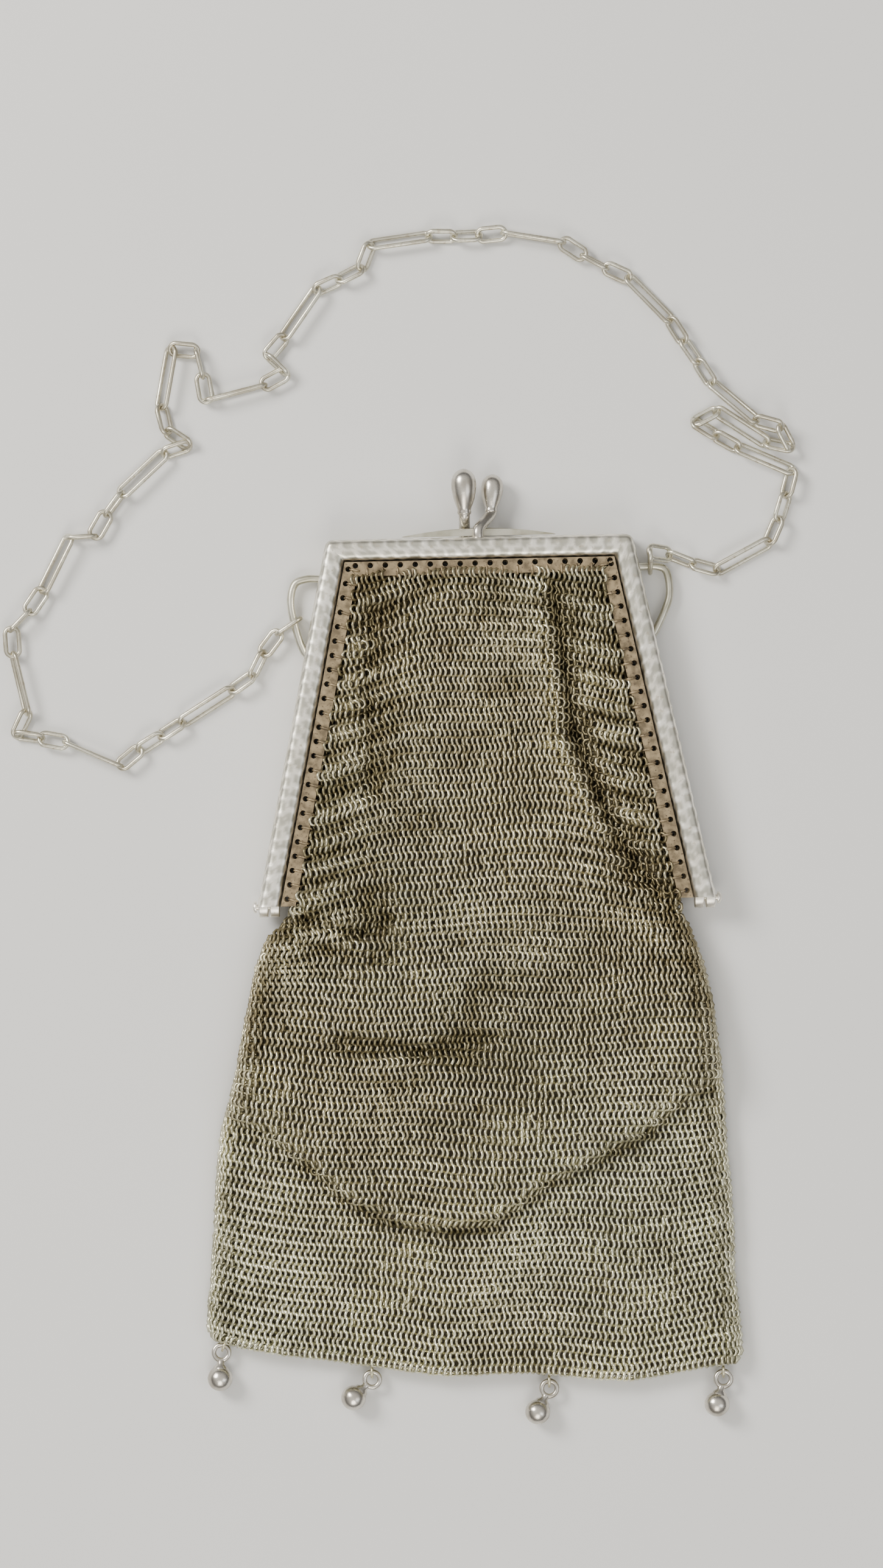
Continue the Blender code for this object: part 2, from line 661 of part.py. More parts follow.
def front_height(x, y):
    """Height of the bag's front: a full upper part, a low band under the big fold, creases."""
    across = x / HALF_FOOT
    down = (FRAME_TOP_Y - y) / (FRAME_HEIGHT + BAG_DEPTH)
    depth = (SEAM_TOP - y) / BAG_DEPTH
    fold = np.interp(across, column(SWAG, 0), column(SWAG, 1))
    past = (depth - fold) * BAG_DEPTH
    below = 0.5 + 0.5 * np.tanh(past / SWAG_STEP)
    puff = SWAG_PUFF * np.exp(-((past + PUFF_ABOVE) / PUFF_BREADTH) ** 2)
    low = BAG_LOW + (BAG_HEM - BAG_LOW) * np.clip(depth, 0.0, 1.0)
    height = BAG_FRONT * (1.0 + puff) * (1 - below) + low * below
    for across_0, down_0, across_1, down_1, breadth, rise in FOLDS:
        run = np.array([(across_1 - across_0) * HALF_FOOT,
                        (down_1 - down_0) * (FRAME_HEIGHT + BAG_DEPTH)])
        from_x = (across - across_0) * HALF_FOOT
        from_y = (down - down_0) * (FRAME_HEIGHT + BAG_DEPTH)
        share = np.clip((from_x * run[0] + from_y * run[1]) / (run @ run), 0.0, 1.0)
        away = np.hypot(from_x - share * run[0], from_y - share * run[1])
        height = height + rise * BAG_FRONT * np.exp(-(away / (breadth * BAG_FRONT)) ** 2)
    return height


def seam_height(y):
    """Height of the side and bottom seam above the table."""
    depth = np.clip((SEAM_TOP - y) / BAG_DEPTH, 0.0, 1.0)
    return HINGE_Z + (BAG_HEM / 2 - HINGE_Z) * np.minimum(1.0, depth * SEAM_FALL)


def lower_edge(across):
    return np.interp(across, column(BAG_BOTTOM, 0), column(BAG_BOTTOM, 1)) * BAG_DEPTH


def bag_grid():
    """Front and back heights over the grid of the bag, with its x and y."""
    side_step = np.array([0.0, ROUND_STEP, 1.0]) * SIDE_ROUND
    rows = []
    top = FRAME_TOP_Y - BAG_INSET
    for y in np.linspace(top, FOOT_Y + BAG_GAP, LEG_ROWS):
        edge = leg_x(y, BAG_INSET)
        middle = np.linspace(-(edge - SIDE_ROUND), edge - SIDE_ROUND, COLUMNS - 3)
        x = np.concatenate([-edge + side_step[:2], middle, edge - side_step[1::-1]])
        z_front = front_height(x, np.full_like(x, y))
        inside = np.minimum(edge - np.abs(x), top - y) / SIDE_ROUND
        ease = np.clip(inside, 0.0, 1.0)
        z_front = BAG_EDGE_FRONT + (z_front - BAG_EDGE_FRONT) * ease
        z_back = np.full_like(x, THICKNESS - BAG_EDGE_FRONT)
        z_back = z_back + (FLOOR_GAP - z_back) * ease
        rows.append((x, np.full_like(x, y), z_front, z_back, False))
    hem = 1.0 - HEM_ROUND / BAG_DEPTH
    for share in list(BAG_ROWS) + [hem, 1.0 - ROUND_STEP * (1.0 - hem), 1.0]:
        left = -np.interp(share, column(BAG_SIDES, 0), column(BAG_SIDES, 1)) * HALF_FOOT
        right = np.interp(share, column(BAG_SIDES, 0), column(BAG_SIDES, 2)) * HALF_FOOT
        middle = np.linspace(left + SIDE_ROUND, right - SIDE_ROUND, COLUMNS - 3)
        x = np.concatenate([left + side_step[:2], middle, right - side_step[1::-1]])
        across = (2 * x - left - right) / (right - left)
        y = SEAM_TOP - share * lower_edge(across)
        seam = seam_height(y)
        to_side = np.minimum(x - left, right - x) / SIDE_ROUND
        to_hem = (1.0 - share) / (1.0 - hem)
        near = np.clip(np.minimum(to_side, to_hem), 0.0, 1.0)
        rounded = np.sqrt(1.0 - (1.0 - near) ** 2)
        z_front = seam + (front_height(x, y) - seam) * rounded
        z_back = seam + (FLOOR_GAP - seam) * rounded
        rows.append((x, y, z_front, z_back, True))
    return rows


def hem_point(across):
    """A point of the lower seam."""
    left = -BAG_SIDES[-1][1] * HALF_FOOT
    right = BAG_SIDES[-1][2] * HALF_FOOT
    x = left + (across + 1.0) / 2 * (right - left)
    y = SEAM_TOP - float(lower_edge(across))
    return Vector((x, y, float(seam_height(y))))


def ring_heading(degrees):
    angle = math.radians(degrees)
    return Vector((math.cos(angle), math.sin(angle), 0.0))


def edge_ring_place(across, degrees):
    """Middle of the ring that is fixed in the lower seam."""
    return hem_point(across) + ring_heading(degrees) * EDGE_RING_OUT


def build_bag(parts, cutters, mesh_silver):
    """A hollow bag, front and back panels joined at the sides and the bottom below the hinge."""
    bm = bmesh.new()
    rows = bag_grid()
    front = []
    back = []
    for index, (x, y, z_front, z_back, closed) in enumerate(rows):
        last = index == len(rows) - 1
        front_row = [bm.verts.new(place) for place in zip(x, y, z_front)]
        back_row = []
        for i, place in enumerate(zip(x, y, z_back)):
            shared = closed and (i in (0, len(x) - 1) or last)
            back_row.append(front_row[i] if shared else bm.verts.new(place))
        front.append(front_row)
        back.append(back_row)
    for upper, lower in zip(front, front[1:]):
        for i in range(len(upper) - 1):
            bm.faces.new((upper[i], lower[i], lower[i + 1], upper[i + 1]))
    for upper, lower in zip(back, back[1:]):
        for i in range(len(upper) - 1):
            bm.faces.new((upper[i], upper[i + 1], lower[i + 1], lower[i]))
    flat = [vert for row in back for vert in row if abs(vert.co.z - FLOOR_GAP) < 0.01 * FLOOR_GAP]
    edges = {edge for vert in flat for edge in vert.link_edges}
    bmesh.ops.dissolve_limit(bm, angle_limit=math.radians(0.5), verts=flat, edges=list(edges))
    mesh = bpy.data.meshes.new("mesh_bag")
    bm.to_mesh(mesh)
    bm.free()
    mesh.shade_smooth()
    mesh.materials.append(mesh_silver)
    bag = bpy.data.objects.new("mesh_bag", mesh)
    parts.objects.link(bag)
    wall = bag.modifiers.new("Wall", "SOLIDIFY")
    wall.thickness = BAG_WALL
    wall.offset = -1.0
    wall.use_even_offset = False
    for number, (across, ring_degrees, _) in enumerate(DROPS, start=1):
        heading = ring_heading(ring_degrees)
        side = Vector((0.0, 0.0, 1.0)).cross(heading)
        place = Matrix.Translation(edge_ring_place(across, ring_degrees)) @ Matrix(
            (heading, Vector((0.0, 0.0, 1.0)), -side)).transposed().to_4x4()
        bm = bmesh.new()
        torus(bm, EDGE_RING_RADIUS, EDGE_RING_WIRE, LINK_SIDES, WIRE_SIDES, place)
        ring = object_from_bmesh(f"edge_ring_{number}", bm, cutters)
        boolean(bag, as_cutter(ring), "UNION")


def build_drops(parts, cutters, silver):
    """Each drop is one soldered piece, whose eye passes through its ring on the lower seam."""
    for number, (across, ring_degrees, ball_degrees) in enumerate(DROPS, start=1):
        eye = edge_ring_place(across, ring_degrees) + ring_heading(ring_degrees) * EYE_RADIUS
        heading = ring_heading(ball_degrees)
        rise = BALL_RADIUS + FLOOR_GAP - eye.z
        axis = Vector((heading.x * BALL_REACH, heading.y * BALL_REACH, rise)).normalized()
        side = Vector((0.0, 0.0, 1.0)).cross(axis).normalized()
        frame = Matrix((axis, side, axis.cross(side))).transposed().to_4x4()
        bm = bmesh.new()
        torus(bm, EYE_RADIUS, EYE_WIRE, LINK_SIDES, WIRE_SIDES, Matrix.Translation(eye) @ frame)
        drop = object_from_bmesh(f"drop_{number}", bm, parts, silver)
        ball_place = eye + axis * BALL_REACH
        bm = bmesh.new()
        bmesh.ops.create_uvsphere(bm, u_segments=BALL_SIDES, v_segments=BALL_ROWS, radius=BALL_RADIUS,
                                  matrix=Matrix.Translation(ball_place) @ axis.to_track_quat(
                                      "Z", "Y").to_matrix().to_4x4())
        ball = object_from_bmesh(f"drop_{number}_ball", bm, cutters)
        neck = rod_object(f"drop_{number}_neck", eye + axis * EYE_RADIUS,
                          ball_place - axis * BALL_RADIUS / 2, NECK_RADIUS, PIN_SIDES, cutters)
        boolean(drop, as_cutter(neck), "UNION")
        boolean(drop, as_cutter(ball), "UNION")


def link_length(number):
    is_long = number >= LONG_FIRST and (number - LONG_FIRST) % LONG_EVERY == 0
    return LONG_LINK if is_long and number < LINKS else SHORT_LINK


def lap(joint):
    """How far a link's end line runs past a joint: nearly touching, or with a gap between nodes."""
    return (LINK_WIRE + GAP) / 2 if joint == SPLIT_JOINT else LAP_SHARE * LINK_WIRE


def link_roll(number):
    twist = np.interp(number, column(CHAIN_TWIST, 0), column(CHAIN_TWIST, 1))
    return math.radians(twist + 90.0 * (number % 2))


def chain_ends():
    """Where the ears pass through the first and last links."""
    left = ear_route(LEFT_EAR, -1)
    first = left[np.argmin(np.abs(left[:, 1] - (FRAME_TOP_Y - LEFT_END_DOWN)))]
    y = FRAME_TOP_Y - RIGHT_EAR[0][0]
    last = np.array([leg_x(y) + RIGHT_END_STAND_OFF, y, EAR_HEIGHT])
    return first, last


def chain_joints():
    """Joints of the chain: the route's points, moved until each link has its own length."""
    half_width = (LINK_WIDTH - LINK_WIRE) / 2
    first, last = chain_ends()
    short_reach = SHORT_LINK / 2 - LINK_WIRE / 2 - lap(0)
    pitch = np.array([link_length(k) - LINK_WIRE - lap(k - 1) - lap(k) for k in range(1, LINKS)])
    pitch[0] = END_SEAT + short_reach
    end_reach = (SHORT_LINK - LINK_WIDTH) / 2 + short_reach
    top = last + end_reach * np.array([0.0, math.cos(END_LINK_LEAN), math.sin(END_LINK_LEAN)])
    need = np.array([half_width * abs(math.sin(link_roll(k))) + LINK_WIRE / 2 + FLOOR_GAP
                     for k in range(1, LINKS + 1)])
    numbers = np.concatenate([[0], column(CHAIN_ROUTE, 0), [LINKS - 1]])
    along = np.concatenate([[0.0], np.cumsum(pitch)])
    places = np.empty((LINKS, 3))
    for axis in (0, 1):
        chosen = np.concatenate([[first[axis]], column(CHAIN_ROUTE, axis + 1), [top[axis]]])
        places[:, axis] = np.interp(along, along[numbers.astype(int)], chosen)
    lift = np.interp(np.arange(LINKS), column(CHAIN_ROUTE, 0), column(CHAIN_ROUTE, 3))
    places[1:-1, 2] = np.maximum(need[:-2], need[1:-1]) + lift[1:-1]
    places[0, 2] = EAR_HEIGHT
    places[-1, 2] = top[2]
    plan = np.sqrt(pitch ** 2 - np.diff(places[:, 2]) ** 2)
    for _ in range(SETTLE_PASSES):
        for k in range(LINKS - 1):
            run = places[k + 1, :2] - places[k, :2]
            length = math.hypot(*run)
            move = run * (length - plan[k]) / length
            loose = 0.0 if k == 0 else 0.5
            if k == LINKS - 2:
                loose = 1.0
            places[k, :2] += loose * move
            places[k + 1, :2] -= (1.0 - loose) * move
    return places, last


def link_frame(start, end, roll):
    axis = (end - start).normalized()
    side = Vector((0.0, 0.0, 1.0)).cross(axis).normalized()
    up = axis.cross(side)
    width = side * math.cos(roll) + up * math.sin(roll)
    return axis, Matrix((axis, width, axis.cross(width))).transposed().to_4x4()


def build_chain(parts, cutters, silver):
    """Interlocking links, fused in two lengths that meet with a gap at the split joint."""
    places, ear_end = chain_joints()
    joints = [Vector(place) for place in places]
    radius = (LINK_WIDTH - LINK_WIRE) / 2
    groups = {}
    for number in range(1, LINKS + 1):
        half = (link_length(number) - LINK_WIRE) / 2
        if number == LINKS:
            start, end = Vector(ear_end), joints[-1]
            axis, frame = link_frame(start, end, link_roll(number))
            middle = start + axis * (SHORT_LINK - LINK_WIDTH) / 2
        else:
            start, end = joints[number - 1], joints[number]
            axis, frame = link_frame(start, end, link_roll(number))
            middle = end - axis * (half - lap(number))
        node = "chain_left" if number <= SPLIT_JOINT else "chain_right"
        bm = bmesh.new()
        torus(bm, radius, LINK_WIRE / 2, LINK_SIDES, WIRE_SIDES, Matrix.Translation(middle) @ frame,
              half - radius)
        mesh = bpy.data.meshes.new(f"link_{number}")
        bm.to_mesh(mesh)
        bm.free()
        groups.setdefault((node, number % 2), []).append(mesh)
    for node in ("chain_left", "chain_right"):
        runs = []
        for parity in (0, 1):
            bm = bmesh.new()
            for mesh in groups[node, parity]:
                bm.from_mesh(mesh)
                bpy.data.meshes.remove(mesh)
            name = node if parity == 0 else f"{node}_odd_links"
            runs.append(object_from_bmesh(name, bm, parts if parity == 0 else cutters, silver))
        boolean(runs[0], as_cutter(runs[1]), "UNION")


def build():
    clear_scene()
    parts = new_collection("mesh_purse")
    cutters = new_collection("cutters")
    silver = finish("polished_silver", SILVER)
    tarnished = finish("tarnished_strip", TARNISHED)
    mesh_silver = finish("mesh_silver", MESH_SILVER)
    chain_silver = finish("chain_silver", CHAIN_SILVER)
    frames = build_frame(parts, cutters, silver)
    build_pins(parts, cutters, silver)
    build_strip("front_strip", THICKNESS - STRIP_DROP - STRIP_THICK, True, parts, cutters, tarnished)
    build_strip("back_strip", STRIP_DROP, False, parts, cutters, tarnished)
    build_clasp(frames, parts, cutters, silver)
    build_guard_plate(parts, silver)
    build_ears(frames, parts, cutters, silver)
    build_bag(parts, cutters, mesh_silver)
    build_drops(parts, cutters, silver)
    build_chain(parts, cutters, chain_silver)


build()
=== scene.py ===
import math

import bmesh
import bpy
import numpy as np
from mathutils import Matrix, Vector


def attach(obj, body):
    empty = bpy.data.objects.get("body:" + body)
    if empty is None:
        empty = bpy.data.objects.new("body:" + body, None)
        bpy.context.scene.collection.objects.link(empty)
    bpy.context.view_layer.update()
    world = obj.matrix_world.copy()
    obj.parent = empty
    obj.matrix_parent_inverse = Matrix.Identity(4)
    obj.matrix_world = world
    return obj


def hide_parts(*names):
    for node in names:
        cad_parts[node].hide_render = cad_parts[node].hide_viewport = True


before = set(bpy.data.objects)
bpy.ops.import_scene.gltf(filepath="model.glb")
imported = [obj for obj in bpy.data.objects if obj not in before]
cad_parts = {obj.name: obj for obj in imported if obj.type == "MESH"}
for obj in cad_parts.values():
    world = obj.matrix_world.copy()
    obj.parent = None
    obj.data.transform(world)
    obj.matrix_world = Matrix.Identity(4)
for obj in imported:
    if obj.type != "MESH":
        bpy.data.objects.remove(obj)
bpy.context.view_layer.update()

mm = 0.001
PICTURE_MIDDLE = (-8.39 * mm, -46.05 * mm)
PICTURE_HEIGHT = 309.1 * mm
PICTURE_TURN = math.radians(-1.27)
EYE_HEIGHT = 900.0 * mm
FLOOR_SIZE = 9000.0 * mm
SENSOR = 36.0
LIT_SPOT = Vector((0.0, -50.0 * mm, 0.0))


class Wire:
    """A number in a material, which may be scaled, added or taken away as in plain sums."""

    def __init__(self, tree, socket):
        self.tree = tree
        self.socket = socket

    def sum(self, operation, first, second):
        node = self.tree.nodes.new("ShaderNodeMath")
        node.operation = operation
        for place, value in enumerate((first, second)):
            if isinstance(value, Wire):
                self.tree.links.new(value.socket, node.inputs[place])
            else:
                node.inputs[place].default_value = value
        return Wire(self.tree, node.outputs[0])

    def __radd__(self, other):
        return self.sum("ADD", other, self)

    def __rsub__(self, other):
        return self.sum("SUBTRACT", other, self)

    def __rmul__(self, other):
        return self.sum("MULTIPLY", other, self)


class Finish:
    """A material in the making. Numbers that hold all over go straight onto the shader."""

    def __init__(self, name, **same_all_over):
        self.material = bpy.data.materials.new(name)
        self.material.use_nodes = True
        self.tree = self.material.node_tree
        self.shader = self.tree.nodes["Principled BSDF"]
        for key, value in same_all_over.items():
            self.shader.inputs[key.replace("_", " ")].default_value = value

    def node(self, kind, settings, values, out=0):
        """Any node: its type, its settings first, then its sockets' values or links."""
        made = self.tree.nodes.new(kind)
        for key, value in settings.items():
            setattr(made, key, value)
        for key, value in values.items():
            if isinstance(value, Wire):
                self.tree.links.new(value.socket, made.inputs[key])
            else:
                made.inputs[key].default_value = value
        return Wire(self.tree, made.outputs[out])

    def grain(self, size, detail=3.0):
        """Smooth noise from 0 to 1 whose patches are about this size, fixed to the object."""
        place = self.node("ShaderNodeTexCoord", {}, {}, "Object")
        return self.node("ShaderNodeTexNoise", {}, {"Vector": place, "Scale": 1.0 / size,
                                                    "Detail": detail})

    def named(self, attribute):
        """A number that each corner of the mesh carries under this name."""
        return self.node("ShaderNodeAttribute", {"attribute_name": attribute}, {}, "Fac")

    def mix(self, share, first, second):
        """A colour part of the way from the first to the second."""
        values = {0: share, 6: first, 7: second}
        for key in (6, 7):
            if not isinstance(values[key], Wire):
                values[key] = (*values[key], 1.0)
        return self.node("ShaderNodeMix", {"data_type": "RGBA"}, values, 2)

    def patches(self, grain, low, high, first, second):
        """The first colour where the grain is under low, the second where it is over high."""
        share = self.node("ShaderNodeMapRange", {}, {"Value": grain, "From Min": low,
                                                     "From Max": high})
        return self.mix(share, first, second)

    def bump(self, height, depth):
        """Low relief of this depth, on the shader's Normal."""
        normal = self.node("ShaderNodeBump", {}, {"Height": height, "Strength": 1.0,
                                                  "Distance": depth})
        self.feed("Normal", normal)

    def feed(self, socket, wire):
        self.tree.links.new(wire.socket, self.shader.inputs[socket])


def placed(name, data, location=(0.0, 0.0, 0.0), turn=(0.0, 0.0, 0.0)):
    """A new object in the scene that shows this mesh, light or camera."""
    made = bpy.data.objects.new(name, data)
    made.location = location
    made.rotation_euler = turn
    bpy.context.scene.collection.objects.link(made)
    return made


paper = Finish("table_paper", Roughness=0.85)
paper.feed("Base Color", paper.mix(paper.grain(60 * mm), (0.70, 0.70, 0.69), (0.74, 0.74, 0.73)))
floor_mesh = bpy.data.meshes.new("floor")
floor_corners = [(x * FLOOR_SIZE / 2, y * FLOOR_SIZE / 2, 0.0)
                 for x, y in ((-1, -1), (1, -1), (1, 1), (-1, 1))]
floor_mesh.from_pydata(floor_corners, [], [(0, 1, 2, 3)])
floor_mesh.materials.append(paper.material)
placed("floor", floor_mesh)

SKY = [
    # height, colour
    (0.25, (0.13, 0.13, 0.14, 1.0)),
    (0.85, (1.0, 0.97, 0.91, 1.0)),
]
sky = bpy.data.worlds.new("studio")
sky.use_nodes = True
sky_place, sky_parts, sky_rise = (sky.node_tree.nodes.new(kind) for kind in (
    "ShaderNodeTexCoord", "ShaderNodeSeparateXYZ", "ShaderNodeValToRGB"))
for stop, (place, colour) in zip(sky_rise.color_ramp.elements, SKY):
    stop.position = place
    stop.color = colour
sky_light = sky.node_tree.nodes["Background"]
sky_light.inputs["Strength"].default_value = 0.90
for output, goal in ((sky_place.outputs["Generated"], sky_parts.inputs[0]),
                     (sky_parts.outputs["Z"], sky_rise.inputs[0]),
                     (sky_rise.outputs[0], sky_light.inputs["Color"])):
    sky.node_tree.links.new(output, goal)
bpy.context.scene.world = sky
LIGHTS = [
    # name, x, y, z, size, power, colour
    ("window_light", -0.66, 0.42, 0.66, 0.38, 12.0, (1.0, 0.97, 0.92)),
    ("fill_light", 0.60, -0.35, 0.80, 0.50, 1.6, (0.93, 0.96, 1.0)),
    ("room_light", -0.05, -0.85, 0.85, 0.55, 6.0, (1.0, 0.95, 0.86)),
]
for name, x, y, z, size, power, colour in LIGHTS:
    light = bpy.data.lights.new(name, "AREA")
    light.size = size
    light.energy = power
    light.color = colour
    towards = LIT_SPOT - Vector((x, y, z))
    placed(name, light, (x, y, z), towards.to_track_quat("-Z", "Y").to_euler())

lens = bpy.data.cameras.new("eye")
lens.sensor_width = SENSOR
lens.lens = SENSOR * EYE_HEIGHT / PICTURE_HEIGHT
bpy.context.scene.camera = placed("eye", lens, (*PICTURE_MIDDLE, EYE_HEIGHT),
                                  (0.0, 0.0, PICTURE_TURN))

# Frame: two U-shaped halves of thick silver, cast and planished. The hammer has left shallow
# round marks along the crest. Each foot ends in a hinge knuckle that is one piece with its bar.
GAP = 0.3 * mm
FRAME_TOP = 60.0 * mm
FRAME_FOOT = 89.8 * mm
FRAME_HEIGHT = 71.5 * mm
BAR_WIDTH = 4.4 * mm
BAR_DEPTH = 4.2 * mm
CORNER_ROUND = 1.6 * mm
LEAST_ROUND = 0.25 * mm
LEG_POINTS = 130
ARC_POINTS = 8
HALF_TOP_POINTS = 50
LUG_RADIUS = 2.0 * mm
LUG_THICK = 1.9 * mm
LUG_RIM = 0.25 * mm
HINGE_SET = 0.15 * mm
MARK_ALONG = 2.60 * mm
MARK_APART = 2.20 * mm
MARK_RADIUS = 1.18 * mm
MARK_DEPTH = 0.11 * mm
MARK_STRAY_ALONG = 0.22 * mm
MARK_STRAY_APART = 0.18 * mm
MARK_ROWS = 4
MARK_RIM = 2.6
CREST = 14
SIDE_CURVE = 0.60
CREST_CURVE = 0.44
WELD = 0.002 * mm
FRAME_TOP_Y = BAR_WIDTH / 2
FOOT_Y = FRAME_TOP_Y - FRAME_HEIGHT
FRONT_Z = BAR_DEPTH + GAP
THICKNESS = FRONT_Z + BAR_DEPTH
HINGE_Y = FOOT_Y - HINGE_SET
HINGE_Z = THICKNESS / 2
HALF_FOOT = FRAME_FOOT / 2
LEG_SLOPE = (FRAME_FOOT - FRAME_TOP) / 2 / FRAME_HEIGHT
LEG_STRETCH = math.hypot(1.0, LEG_SLOPE)


def leg_x(y, inset=0.0):
    """Half width of the frame at y, along a line set in from the outer edge."""
    return FRAME_TOP / 2 + (FRAME_TOP_Y - y) * LEG_SLOPE - inset * LEG_STRETCH


def u_line(inset):
    """The U at one inset, from the left foot to the right: straight legs and top, with an arc
    of the corner's radius, less the inset, between them."""
    turn = math.pi / 2 - math.atan(LEG_SLOPE)
    radius = max(CORNER_ROUND - inset, LEAST_ROUND)
    top = FRAME_TOP_Y - inset
    back_off = radius * math.tan(turn / 2)
    corner_x = leg_x(top, inset)
    start_y = top - back_off / LEG_STRETCH
    leg_y = np.linspace(FOOT_Y, start_y, LEG_POINTS)
    right_leg = np.stack([leg_x(leg_y, inset), leg_y], axis=1)
    centre = np.array([corner_x - back_off, top - radius])
    angle = np.linspace(math.pi / 2 - turn, math.pi / 2, ARC_POINTS)[1:]
    arc = centre + radius * np.stack([np.cos(angle), np.sin(angle)], axis=1)
    half_top = np.stack([np.linspace(corner_x - back_off, 0.0, HALF_TOP_POINTS + 1)[1:],
                         np.full(HALF_TOP_POINTS, top)], axis=1)
    right = np.vstack([right_leg, arc, half_top])
    return np.vstack([right * (-1, 1), right[-2::-1]])


def unit(vectors):
    """Each vector over its own length."""
    return vectors / np.linalg.norm(vectors, axis=-1, keepdims=True)


def held(values):
    """The values, kept between 0 and 1."""
    return np.clip(values, 0.0, 1.0)


def full_turn(count):
    return np.linspace(0.0, 2 * math.pi, count, endpoint=False)


def circle_on(angle, first, second):
    """Rays at these angles: the cosine of each along the first direction, the sine along the
    second. There may be a row of directions, and then there is a row of rays for each."""
    cosine, sine = np.cos(angle)[:, None], np.sin(angle)[:, None]
    return np.asarray(first)[..., None, :] * cosine + np.asarray(second)[..., None, :] * sine


def grid(points, wrap_rows=False, wrap_columns=False):
    """Corners and four-sided faces of a surface worked out on rows and columns."""
    rows, columns = points.shape[:2]
    numbers = np.arange(rows * columns).reshape(rows, columns)
    if wrap_rows:
        numbers = np.vstack([numbers, numbers[:1]])
    if wrap_columns:
        numbers = np.hstack([numbers, numbers[:, :1]])
    faces = np.stack([numbers[:-1, :-1], numbers[:-1, 1:], numbers[1:, 1:], numbers[1:, :-1]],
                     axis=-1)
    return points.reshape(-1, 3), faces.reshape(-1, 4)


def closed_run(points, first, last):
    """Rows that each go once round, drawn shut at both ends in these two spots."""
    ends = [np.broadcast_to(end, points[:1].shape) for end in (first, last)]
    return grid(np.concatenate([ends[0], points, ends[1]]), wrap_columns=True)


def mesh_piece(name, surfaces, finish, replaced, weld=True, sharp=40.0, stains_and_painted_shade=(),
               cells=False):
    """One object from several surfaces, with any named numbers for their corners, its doubles
    merged and its faces turned outwards. Where surfaces are cells of one body, the walls between
    them, whose edges have more than two faces, are taken out."""
    corners = np.vstack([points for points, _ in surfaces])
    starts = np.cumsum([0] + [len(points) for points, _ in surfaces[:-1]])
    faces = np.vstack([quads + start for (_, quads), start in zip(surfaces, starts)])
    mesh = bpy.data.meshes.new(name)
    mesh.vertices.add(len(corners))
    mesh.vertices.foreach_set("co", corners.astype(np.float32).ravel())
    mesh.loops.add(4 * len(faces))
    mesh.loops.foreach_set("vertex_index", faces.astype(np.int32).ravel())
    mesh.polygons.add(len(faces))
    mesh.polygons.foreach_set("loop_start", np.arange(0, 4 * len(faces), 4, dtype=np.int32))
    mesh.update(calc_edges=True)
    # The named numbers carry tint, and masks for painted light and painted shade.
    for layer_name, values in stains_and_painted_shade:
        layer = mesh.attributes.new(layer_name, "FLOAT", "POINT")
        layer.data.foreach_set("value", values.astype(np.float32))
    if weld:
        bm = bmesh.new()
        bm.from_mesh(mesh)
        bmesh.ops.remove_doubles(bm, verts=bm.verts, dist=WELD)
        if cells:
            within = [face for face in bm.faces
                      if sum(len(edge.link_faces) > 2 for edge in face.edges) > 1]
            bmesh.ops.delete(bm, geom=within, context="FACES")
        bmesh.ops.recalc_face_normals(bm, faces=bm.faces)
        bm.to_mesh(mesh)
        bm.free()
    mesh.shade_smooth()
    if sharp:
        mesh.set_sharp_from_angle(angle=math.radians(sharp))
    mesh.materials.append(finish.material)
    piece = placed(name, mesh)
    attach(piece, "root")
    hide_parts(*replaced)


def turned(profile, origin, axis, sides=28):
    """A turned form: each row of height and radius carried round the axis."""
    axis = np.array(Vector(axis).normalized())
    side = np.array(Vector(axis).orthogonal().normalized())
    other = np.cross(axis, side)
    profile = np.asarray(profile, float)
    ring = circle_on(full_turn(sides), side, other)
    points = (np.asarray(origin) + profile[:, 0, None, None] * axis
              + profile[:, 1, None, None] * ring[None])
    return grid(points, wrap_columns=True)


def rounded_disc(thick, radius, edge):
    """Profile of a disc with rounded rims: flat, quarter round, wall, quarter round, flat."""
    bend = np.linspace(0.0, math.pi / 2, 5)
    rise = edge * (1 - np.cos(bend))
    out = radius - edge * (1 - np.sin(bend))
    first = np.stack([rise, out], axis=1)
    last = np.stack([thick - rise[::-1], out[::-1]], axis=1)
    return np.vstack([[(0.0, 0.0)], first, last, [(thick, 0.0)]])


def hammer_marks(along, around, seed):
    """How far into a blow of the round-faced hammer each spot of the bar lies: one less the
    square of its distance from the nearest blow's middle over the mark's radius, made steeper at
    the rim, and nothing outside it. The blows lie in staggered rows, a little at random."""
    chance = np.random.default_rng(seed)
    count = int(along.max() / MARK_ALONG) + 2
    blow_along = (np.arange(count)[:, None] + 0.5 * (np.arange(MARK_ROWS) % 2)) * MARK_ALONG
    blow_along = blow_along + chance.normal(0.0, MARK_STRAY_ALONG, blow_along.shape)
    blow_around = (np.arange(MARK_ROWS) - (MARK_ROWS - 1) / 2) * MARK_APART
    blow_around = blow_around + chance.normal(0.0, MARK_STRAY_APART, blow_along.shape)
    radius = MARK_RADIUS * chance.uniform(0.8, 1.1, blow_along.shape)
    marks = np.zeros((len(along), len(around)))
    for middle, height, size in zip(blow_along.ravel(), blow_around.ravel(), radius.ravel()):
        near = np.flatnonzero(np.abs(along - middle) < size)
        away = ((along[near][:, None] - middle) ** 2 + (around[None] - height) ** 2) / size ** 2
        marks[near] = np.maximum(marks[near], held(1.0 - away))
    return held(MARK_RIM * marks)


